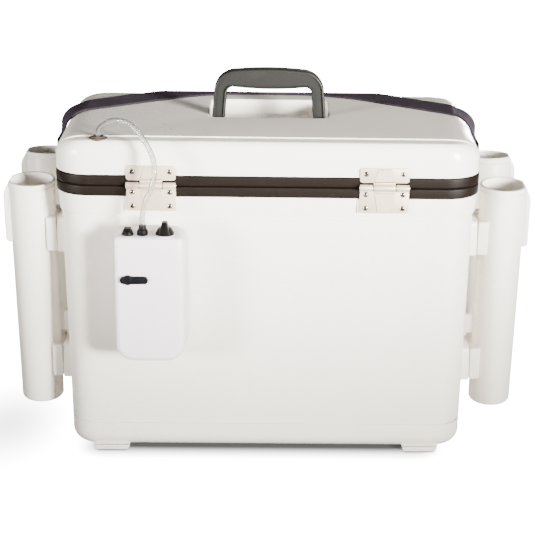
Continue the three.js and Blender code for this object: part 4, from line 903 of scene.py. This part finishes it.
def rod_holder(side, end):
    """Everything in the tube's own frame, mouth at zero, then leaned and moved to its place."""
    foot = TUBE_FOOT
    skins = [lathe([(5, foot, 1), (26.3, foot, 4.5), (28.2, -7.4, 0.5), (26.3, -6.8, 0.2),
                    (26.3, -5.1, 0.2), (29.0, -4.6, 0.4), (29.0, 0, 1.1), (25.2, 0, 1.0),
                    (23.3, foot + 3, 3), (5, foot + 3, 0.8)], sides=72, closed=True, steps=5)]
    pad = drawn([(20, -78), (33.4, -78, 5.5), (33.4, -14, 18), (26.6, -2.0, 1.5), (20, -2.0)])
    low, high = soft_rims(-13.5, 13.5, 2.2, 4)
    grid = levels(pad, np.vstack([low, [(0, y) for y in (-8, -4, 0, 4, 8)], high]), **FRONT_ON)
    grid[..., 0] = np.where(grid[..., 0] < 22.5, np.sqrt(TUBE_WALL ** 2 - grid[..., 1] ** 2),
                            grid[..., 0])
    skins.append(skin(grid))
    for height in LUG_HEIGHTS:
        z = (height - TUBE_Z) / np.cos(SPLAY)
        run = np.vstack([[(-0.8, 24), (-0.9, 25.6), (-0.3, 27.0)],
                         eased([(0, 27.6), (0, 31, 1.6), (3.6, 31)], 5)])
        block = levels(rectangle(-19, 19, z - 20.5, z + 20.5, 4, 6, 6), run, u=(0, 1, 0),
                       v=(0, 0, 1), w=(-1, 0, 0))
        middle = TUBE_WALL + 1.7 * z / 293.5
        hug = -np.sqrt(middle ** 2 - block[0, :, 1] ** 2)
        block[0, :, 0], block[1, :, 0] = hug, hug - 1.6
        block[2, :, 0] = np.minimum(block[2, :, 0], hug - 2.6)
        skins.append(skin(block))
        cheek = rectangle(-31, -18.4, z - 19, z + 23.5, 2.2, 5, 3)
        skins += [soft_slab(cheek, (17.6, 26.0), 1.6, u=(1, 0, 0), v=(0, 0, 1), w=(0, beside, 0))
                  for beside in (-1, 1)]
    lean = -end * SPLAY
    moved = []
    for points, cells in skins:
        x, y, z = points.T
        x = side * np.minimum(x, np.where(z > -14, 25.8 - 8.9 * z / 14, 40.0))
        moved.append((np.stack([x + side * TUBE_X,
                                y * np.cos(lean) - z * np.sin(lean) + end * TUBE_Y,
                                y * np.sin(lean) + z * np.cos(lean) + TUBE_Z], 1), cells))
    return moved


# %% Four rod holders
for label_x, side in LEFT_RIGHT:
    for label_y, end in REAR_FRONT:
        piece(f"rod_tube_{label_y}_{label_x}", rod_holder(side, end), WHITE, "body",
              [f"rod_holder_{label_y}_{label_x}"], crease=50)

# %% [markdown]
# ## Air pump
# The pump is a white two-cell case: a deep shell that grows wider towards the wall, and a shallow
# cover over the cells. Its foot has wide round corners and its top narrow ones. Both halves are
# one outline drawn in along the depth, with a soft frame round the cover's face and a narrow
# groove where the halves meet. The cover's face leans back a little at its top.

# %% Pump case
CASE_FRONT, CASE_FLARE = 187.5, 46.4


def pump_half(run):
    """The case's rings: the front outline, plus the flare times (187.5 - depth) / 46.4."""
    run = np.asarray(run, float)
    front, back = (levels(rectangle(PUMP_X - half, PUMP_X + half, PUMP_FOOT, PUMP_TOP,
                                    [top, top, 21, 21], 12, 12), run, **REAR_ON)
                   for half, top in ((40.3, 6), (44.3, 18)))
    share = np.clip((CASE_FRONT - run[:, 1]) / CASE_FLARE, 0, 1)[:, None, None]
    return front + share * (back - front)


shell_run = eased([(4, 141.1), (0, 141.1, 3), (0, 187.1, 0.3), (0.5, 187.5, 0.2),
                   (2.4, 187.5, 0.3), (2.4, 143.5, 2), (4, 143.5)])
piece("pump_back_shell", [skin(pump_half(shell_run))], PUMP_WHITE, "body", ["pump_shell"],
      crease=50)

# %% Battery cover
cover_run = eased([(5.6, 192.2), (2.4, 192.2, 1), (2.4, 187.8, 0.3), (0.5, 187.8, 0.2),
                   (0, 188.2, 0.2), (0, 189.4, 2), (1.5, 192.6, 2.5), (5.0, 194.35, 1.2),
                   (5.8, 194.4)])
cover = pump_half(cover_run)
TOP_ZONE = 12.0
squarer = np.clip((cover[..., 2] - 280.0) / TOP_ZONE, 0, 1) * (cover_run[:, 1:] > 188)
cover[..., 2] += 0.7 * squarer * cover_run[:, :1]
middle = np.array([PUMP_X, -194.4, 225.0])
inwards = np.linspace(1, 0.02, 26)[1:, None, None]
cover = np.concatenate([cover, middle + inwards * (cover[-1] - middle)])
near_top = np.clip((cover[..., 2] - PUMP_TOP + TOP_ZONE) / TOP_ZONE, 0, None)
slant = np.where(cover[..., 1] < -190, 2.6 * (np.sqrt(near_top ** 2 + 0.01) - 0.1), 0)
cover[..., 1] = np.minimum(cover[..., 1] + slant, np.maximum(cover[..., 1], -189.6))
piece("pump_front_cover", [skin(cover)], PUMP_WHITE, "pump_cover", ["pump_battery_cover"],
      crease=50)

# %% [markdown]
# ## Pump fittings
# On top stand a capped socket for a power lead, the ribbed barb that the hose is pushed over, and
# the pointer knob that sets the air flow. A black turn latch holds the cover. They are small, so
# what makes them read is their edges: every one is turned or drawn with rounded rims.

# %% Turn latch
BUTTON_X, BUTTON_Z = PUMP_X - 24.1, 249.7
arm = soft_slab(rectangle(BUTTON_X - 9.1, BUTTON_X + 23.9, BUTTON_Z - 4.8, BUTTON_Z + 4.8, 4.7, 8,
                          4), (195.7, 198.2), 1.1, **REAR_ON)
hub = lathe([(0, -194.7), (6, -194.7, 0.5), (6, -197.7, 0.8), (5.0, -198.5, 0.5),
             (3.6, -198.5, 0.4), (3.1, -198.0, 0.4), (0, -198.0)],
            (BUTTON_X, 0, BUTTON_Z), "y", 40)
piece("pump_turn_button", [arm, hub], BLUE_BLACK, "pump_turn_latch", ["pump_turn_latch"])

# %% Power socket and its cap
socket_at, barb_at, knob_at = ((PUMP_X + dx, FITTINGS_Y, PUMP_TOP) for dx in (-24.1, -7.0, 18.9))
socket = [(0, 0.3), (6.9, 0.3, 0.4), (6.9, 1.2, 0.5), (6.0, 4.0, 0.4), (0, 4.0)]
piece("pump_power_socket", [lathe(socket, socket_at)], BLACK, "body", ["pump_socket"])
cap = levels(rectangle(-4.4, 4.4, -5.4, 4.4, 1.6, 6, 2),
             eased([(0.4, 4.3), (0, 4.3, 0.2), (0.3, 8.6, 0.5), (1.0, 9.0, 0.2), (1.5, 9.0)]),
             origin=socket_at)
skirt = lathe([(0, 4.3), (6.0, 4.3, 0.4), (5.0, 7.0, 0.6), (0, 7.0)], socket_at)
eye = lathe([(0.9, 5.0), (1.9, 5.0), (1.9, 5.9, 0.3), (0.9, 5.9, 0.3)],
            np.add(socket_at, (0, -11.2, 6.2)), "y", 20, closed=True, steps=3)
piece("pump_socket_lid", [skin(cap), skirt, eye], BLACK, "socket_cap", ["pump_socket_cap"])

# %% Hose barb
gland = [(3.35, 3.4), (3.35, 12.0, 0.2), (4.1, 12.0, 0.4), (4.4, 8.0, 0.8), (6.0, 6.3, 0.8),
         (6.4, 5.0, 0.4), (6.4, 0.3, 0.3), (3, 0.3, 0.2), (3, -5), (0, -5), (0, 3.4)]
piece("pump_hose_spigot", [lathe(gland, barb_at, steps=3)], BLACK, "body", ["pump_hose_barb"])

# %% Knob
knob_pad = [(0, 0.3), (12.5, 0.3, 0.3), (12.5, 1.4, 0.6), (0, 1.4)]
piece("pump_knob_seat", [lathe(knob_pad, knob_at, sides=56)], PUMP_WHITE, "body",
      ["pump_knob_pad"])
dial = lathe([(0, 1.7), (11.3, 1.7, 0.5), (11.0, 3.0, 1.2), (8.0, 8.6, 1.2), (6, 9.2, 1),
              (0, 9.2)], knob_at, sides=56)
fin_line = drawn([(-7.0, 1.8, 0.6), (7.0, 1.8, 0.6), (3.0, 16.6, 2.6), (-3.0, 16.6, 2.6)])
fin = levels(fin_line, eased([(1.1, -12.2), (0.4, -11.9, 0.6), (0, -10.6, 1.4), (0, 3.4, 1.4),
                              (0.8, 4.6, 0.6), (1.9, 5.0)], 4), origin=knob_at, **FRONT_ON)
fin[..., 1] += np.clip(fin[..., 2] - PUMP_TOP - 3, 0, None) * 0.42 * (fin[..., 1] < FITTINGS_Y)
piece("pump_flow_knob", [dial, skin(fin)], BLACK, "pump_knob", ["pump_knob"])

# %% [markdown]
# ## Grommet
# A rubber grommet closes the hole in the lid's round edge: a wide flange that sits on the dome, a
# narrower collar above it, and a bore that grips the hose. It is turned about an upright axis, and
# its foot simply goes on down into the lid, where the dome hides it.

# %% Grommet
grommet = [(3.63, 394), (9.5, 394), (10.9, 396), (10.9, 402.3, 0.9), (7.9, 402.4, 0.5),
           (7.5, 403.7, 0.8), (3.63, 403.7, 0.6)]
piece("lid_grommet", [lathe(grommet, GROMMET, sides=56, closed=True, steps=5)], GROMMET_RUBBER,
      "lid", ["hose_grommet"])

# %% [markdown]
# ## Carry strap
# A webbing strap is clamped to both of the lid's sides and lies across its front half. It is drawn
# as a flat ribbon on the lid's skin rolled out flat, with a wide bend in front and a small one at
# each end, and then wrapped over the rounded edges. A strip of cloth can bend over one edge at a
# time like this without creasing, so no simulation is needed. Stiff webbing doesn't lie down
# everywhere: where it turns down the lid's shoulder, its far edge stands off a few millimetres.
# Solidify gives it its thickness.

# %% Strap route
FLAT_X, FLAT_Y, SKIN, HUG_REACH, SIDE_REACH = 229.5, 117.5, 26.5, 25.4, 31.0
BEND, SMALL, DIAGONAL, END_RUN = 256.0, 60.0, 0.60, 8.0
STRAP_WIDTH, STAND_OFF = 45.0, 7.0
STRAP_END = FLAT_X + SKIN * np.pi / 2 + EDGE_Z - LID_FOOT - 0.3
STRAIGHT = (STRAP_END - END_RUN - (BEND + SMALL) * np.sin(DIAGONAL)) / np.cos(DIAGONAL)
STRAP_HALF = (BEND + SMALL) * DIAGONAL + STRAIGHT + END_RUN


def strap_point(distance):
    """Flat route: an arc, a straight, a counter-arc and an end run. Gives point and crosswise."""
    first = np.minimum(distance, BEND * DIAGONAL)
    straight = np.clip(distance - first, 0, STRAIGHT)
    second = np.clip(distance - first - straight, 0, SMALL * DIAGONAL)
    rest = distance - first - straight - second
    a, b = first / BEND, DIAGONAL - second / SMALL
    heading = np.where(second > 0, b, a)
    x = (BEND * np.sin(a) + straight * np.cos(DIAGONAL)
         + SMALL * (np.sin(DIAGONAL) - np.sin(b)) + rest)
    y = (FLAT_Y + 20 - BEND * (1 - np.cos(a)) - straight * np.sin(DIAGONAL)
         - SMALL * (np.cos(b) - np.cos(DIAGONAL)))
    return np.stack([x, y], -1), np.stack([np.sin(heading), np.cos(heading)], -1)


# %% Wrapped over the edges
def over_edge(flat, distance, reach, late=0.0):
    """Past the flat top a distance turns down an edge: out = flat + reach sin(past / radius)."""
    past = np.maximum(0, abs(distance) - flat)
    angle = np.minimum(past / SKIN, np.pi / 2)
    away = np.clip((past - 22 - late) / (26 - late), 0, 1)
    out = (np.minimum(abs(distance), flat)
           + (HUG_REACH + (reach - HUG_REACH) * away ** 2 * (3 - 2 * away)) * np.sin(angle))
    return np.sign(distance) * out, angle, past


def strap_sheet(rows=190, columns=15):
    """Rows along the strap, columns across it, wrapped over the lid's two kinds of edges."""
    along = np.linspace(-STRAP_HALF, STRAP_HALF, rows)
    at_point, across = strap_point(abs(along))
    w = np.linspace(-STRAP_WIDTH / 2, STRAP_WIDTH / 2, columns)
    share = (w / STRAP_WIDTH)[None]
    flat = at_point[:, None] + w[None, :, None] * across[:, None]
    flat[..., 0] *= np.where(along < 0, -1, 1)[:, None]
    x, angle_x, past_x = over_edge(FLAT_X, flat[..., 0], SIDE_REACH, 16 * (0.5 - share))
    y, angle_y, past_y = over_edge(FLAT_Y, flat[..., 1], SKIN)
    z = (EDGE_Z + SKIN * np.cos(angle_x) * np.cos(angle_y)
         - (past_x - SKIN * angle_x) - (past_y - SKIN * angle_y))
    lift = STAND_OFF * (0.5 + share) * np.sin(np.pi * np.clip((past_x - 8) / 46, 0, 1)) ** 2
    x, z = x + np.sign(x) * lift * np.sin(angle_x), z + lift * np.cos(angle_x)
    uv = np.stack(np.broadcast_arrays(along[:, None] + STRAP_HALF, w[None] + STRAP_WIDTH / 2), -1)
    return np.stack([x, y, z], -1), uv / 1000.0


# %% Strap piece
strap_grid, strap_uv = strap_sheet()
strap = piece("lid_strap", [skin(strap_grid, around=False, capped=False)], WEBBING, "lid",
              ["carry_strap"], crease=60, outward=False)
cloth_map = strap.data.uv_layers.new(name="UVMap")
corner_points = np.zeros(len(strap.data.loops), int)
strap.data.loops.foreach_get("vertex_index", corner_points)
cloth_map.data.foreach_set("uv", strap_uv.reshape(-1, 2)[corner_points].ravel())
thick = strap.modifiers.new("thickness", "SOLIDIFY")
thick.thickness, thick.offset = 0.002, 0.0
print("strap length", round(2 * STRAP_HALF, 1), "mm")

# %% Strap clamps
CLAMP_Y = float(strap_point(np.array([STRAP_HALF]))[0][0, 1])
y0, y1 = CLAMP_Y - 22.8, CLAMP_Y + 22.8
CLAMP_PLATES = ((y0 - 5, y1 + 5, 2.2, 5, 3, (261.8, 264.2), 0.8),
                (y0 - 5, y1 + 5, 1.2, 4, 3, (253.8, 259.2), 0.6),
                (y0 - 5, y0, 1.4, 4, 2, (253.8, 264.0), 0.6),
                (y1, y1 + 5, 1.4, 4, 2, (253.8, 264.0), 0.6))
for label, side in LEFT_RIGHT:
    skins = [soft_slab(rectangle(a, b, 361.3, 371.3, radius, steps, side_steps), depth, edge,
                       **SIDE_ON)
             for a, b, radius, steps, side_steps, depth, edge in CLAMP_PLATES]
    piece(f"strap_bracket_{label}", [(points * (side, 1, 1), cells) for points, cells in skins],
          BLACK, "lid", [f"strap_clamp_{label}"])

# %% [markdown]
# ## Hidden solids
# Foam, cells, motor, pump head and contact plate are inside. Their solids have the right shape, so
# they stay, and only get finishes of their own, because a lid or a cover may be opened later.

# %% Finishes for the inner solids
inner = {"wall_foam": FOAM, "lid_foam": FOAM, "pump_hanger": PUMP_WHITE, "pump_head": BLACK,
         "pump_motor": TURNED_STEEL, "pump_cell_left": CELL, "pump_cell_right": CELL,
         "pump_contact_plate": BRASS}
for name, finish in inner.items():
    nodes[name].data.materials.clear()
    nodes[name].data.materials.append(finish)
print("finished", len(inner), "inner solids")

# %% [markdown]
# ## Studio
# Two soft boxes with grids stand low on either side of the camera, so upright white walls are
# bright and the lid's top is a calm grey, and a third lights the far side. The floor and the world
# look white to the camera, as in a white studio, but give little light of their own. A real floor
# that is lit this white would hardly show a shadow, so its brightness fades by a formula: dark
# under the box's foot and the feet, and soft beside it.

# %% Floor
WHITE_LEVEL = 20.0
floor_mesh = bpy.data.meshes.new("studio_floor")
size = 12.0
floor_mesh.from_pydata([(-size, -size, 0), (size, -size, 0), (size, size, 0), (-size, size, 0)],
                       [], [(0, 1, 2, 3)])
floor = bpy.data.objects.new("studio_floor", floor_mesh)
bpy.context.scene.collection.objects.link(floor)
floor_finish, tree, surface = shader("studio_floor")
floor_x, floor_y, _ = node(tree, "SeparateXYZ", Vector=object_place(tree))


def past_edge(value, middle, half):
    """How far a coordinate lies outside middle +- half, in metres."""
    off = math("ABSOLUTE", math("SUBTRACT", value, middle))
    return math("MAXIMUM", math("SUBTRACT", off, half))


def squares(a, b):
    """a * a + b * b."""
    return math("ADD", times(a, a), times(b, b))


def share_of(value, middle, half):
    """A coordinate's way from a middle, as a share of the half width."""
    return math("DIVIDE", math("SUBTRACT", value, middle), half)


# %% Brightness of the floor
BOX_FOOT = (-0.008, 0.196), (0.022, 0.120)
LEFT_SHADE = (-0.335, 0.085), (-0.035, 0.15)
FEET_X, FOOT_HALF, FEET_Y = 0.194, 0.0165, (-0.092, 0.0168)
# Painted shadow on the floor: the white that the camera sees fades to dark under the box's foot,
# beside its left side and at the feet.
away = math("SQRT", squares(past_edge(floor_x, *BOX_FOOT[0]), past_edge(floor_y, *BOX_FOOT[1])))
bright = times(math("POWER", map_range(away, 0.0, 1.0, -0.003, 0.040), 2.3), WHITE_LEVEL)
beside = map_range(squares(share_of(floor_x, *LEFT_SHADE[0]), share_of(floor_y, *LEFT_SHADE[1])),
                   0.22, 1.0, 0.0, 1.0)
from_foot = math("SUBTRACT", math("ABSOLUTE", floor_x), FEET_X)
touch = math("SQRT", squares(past_edge(from_foot, 0.0, FOOT_HALF), past_edge(floor_y, *FEET_Y)))
beside = times(beside, map_range(touch, 0.03, 1.0, 0.0, 0.005))
shown = times(node(tree, "LightPath")["Is Camera Ray"], times(bright, beside))
fill(surface, Base_Color=(0.08, 0.08, 0.08), Roughness=0.9, Emission_Color=(1, 1, 1),
     Emission_Strength=math("MAXIMUM", shown, 0.03))
floor_mesh.materials.append(floor_finish)


# %% Lights and surroundings
def soft_light(name, place, aim, width, height, power, spread):
    """A rectangular light at a place in metres, turned to its aim; a grid narrows its spread."""
    lamp = bpy.data.lights.new(name, "AREA")
    lamp.shape, lamp.size, lamp.size_y = "RECTANGLE", width, height
    lamp.energy, lamp.color, lamp.spread = power, (1.0, 0.970, 0.930), np.radians(spread)
    made = bpy.data.objects.new(name, lamp)
    towards = (Vector(aim) - Vector(place)).to_track_quat("-Z", "Y").to_matrix().to_4x4()
    made.matrix_world = Matrix.Translation(place) @ towards
    bpy.context.scene.collection.objects.link(made)


soft_light("left_softbox", (-2.1, -1.75, 0.69), (0.10, -0.12, 0.47), 0.8, 0.6, 7.0, 26.0)
soft_light("right_softbox", (1.65, -2.1, 0.76), (0.06, -0.12, 0.47), 0.8, 0.6, 18.0, 26.0)
soft_light("rear_softbox", (0.5, 2.5, 0.20), (0.0, 0.14, 0.27), 0.9, 0.3, 4.5, 30.0)
world = bpy.data.worlds.new("white_studio")
bpy.context.scene.world = world
world.use_nodes = True
sky = world.node_tree
seen_directly = node(sky, "LightPath")["Is Camera Ray"]
fill(sky.nodes["Background"], Color=(1, 1, 1),
     Strength=map_range(seen_directly, 0.13, WHITE_LEVEL, 0.0, 1.0))
print("lights", len(bpy.data.lights))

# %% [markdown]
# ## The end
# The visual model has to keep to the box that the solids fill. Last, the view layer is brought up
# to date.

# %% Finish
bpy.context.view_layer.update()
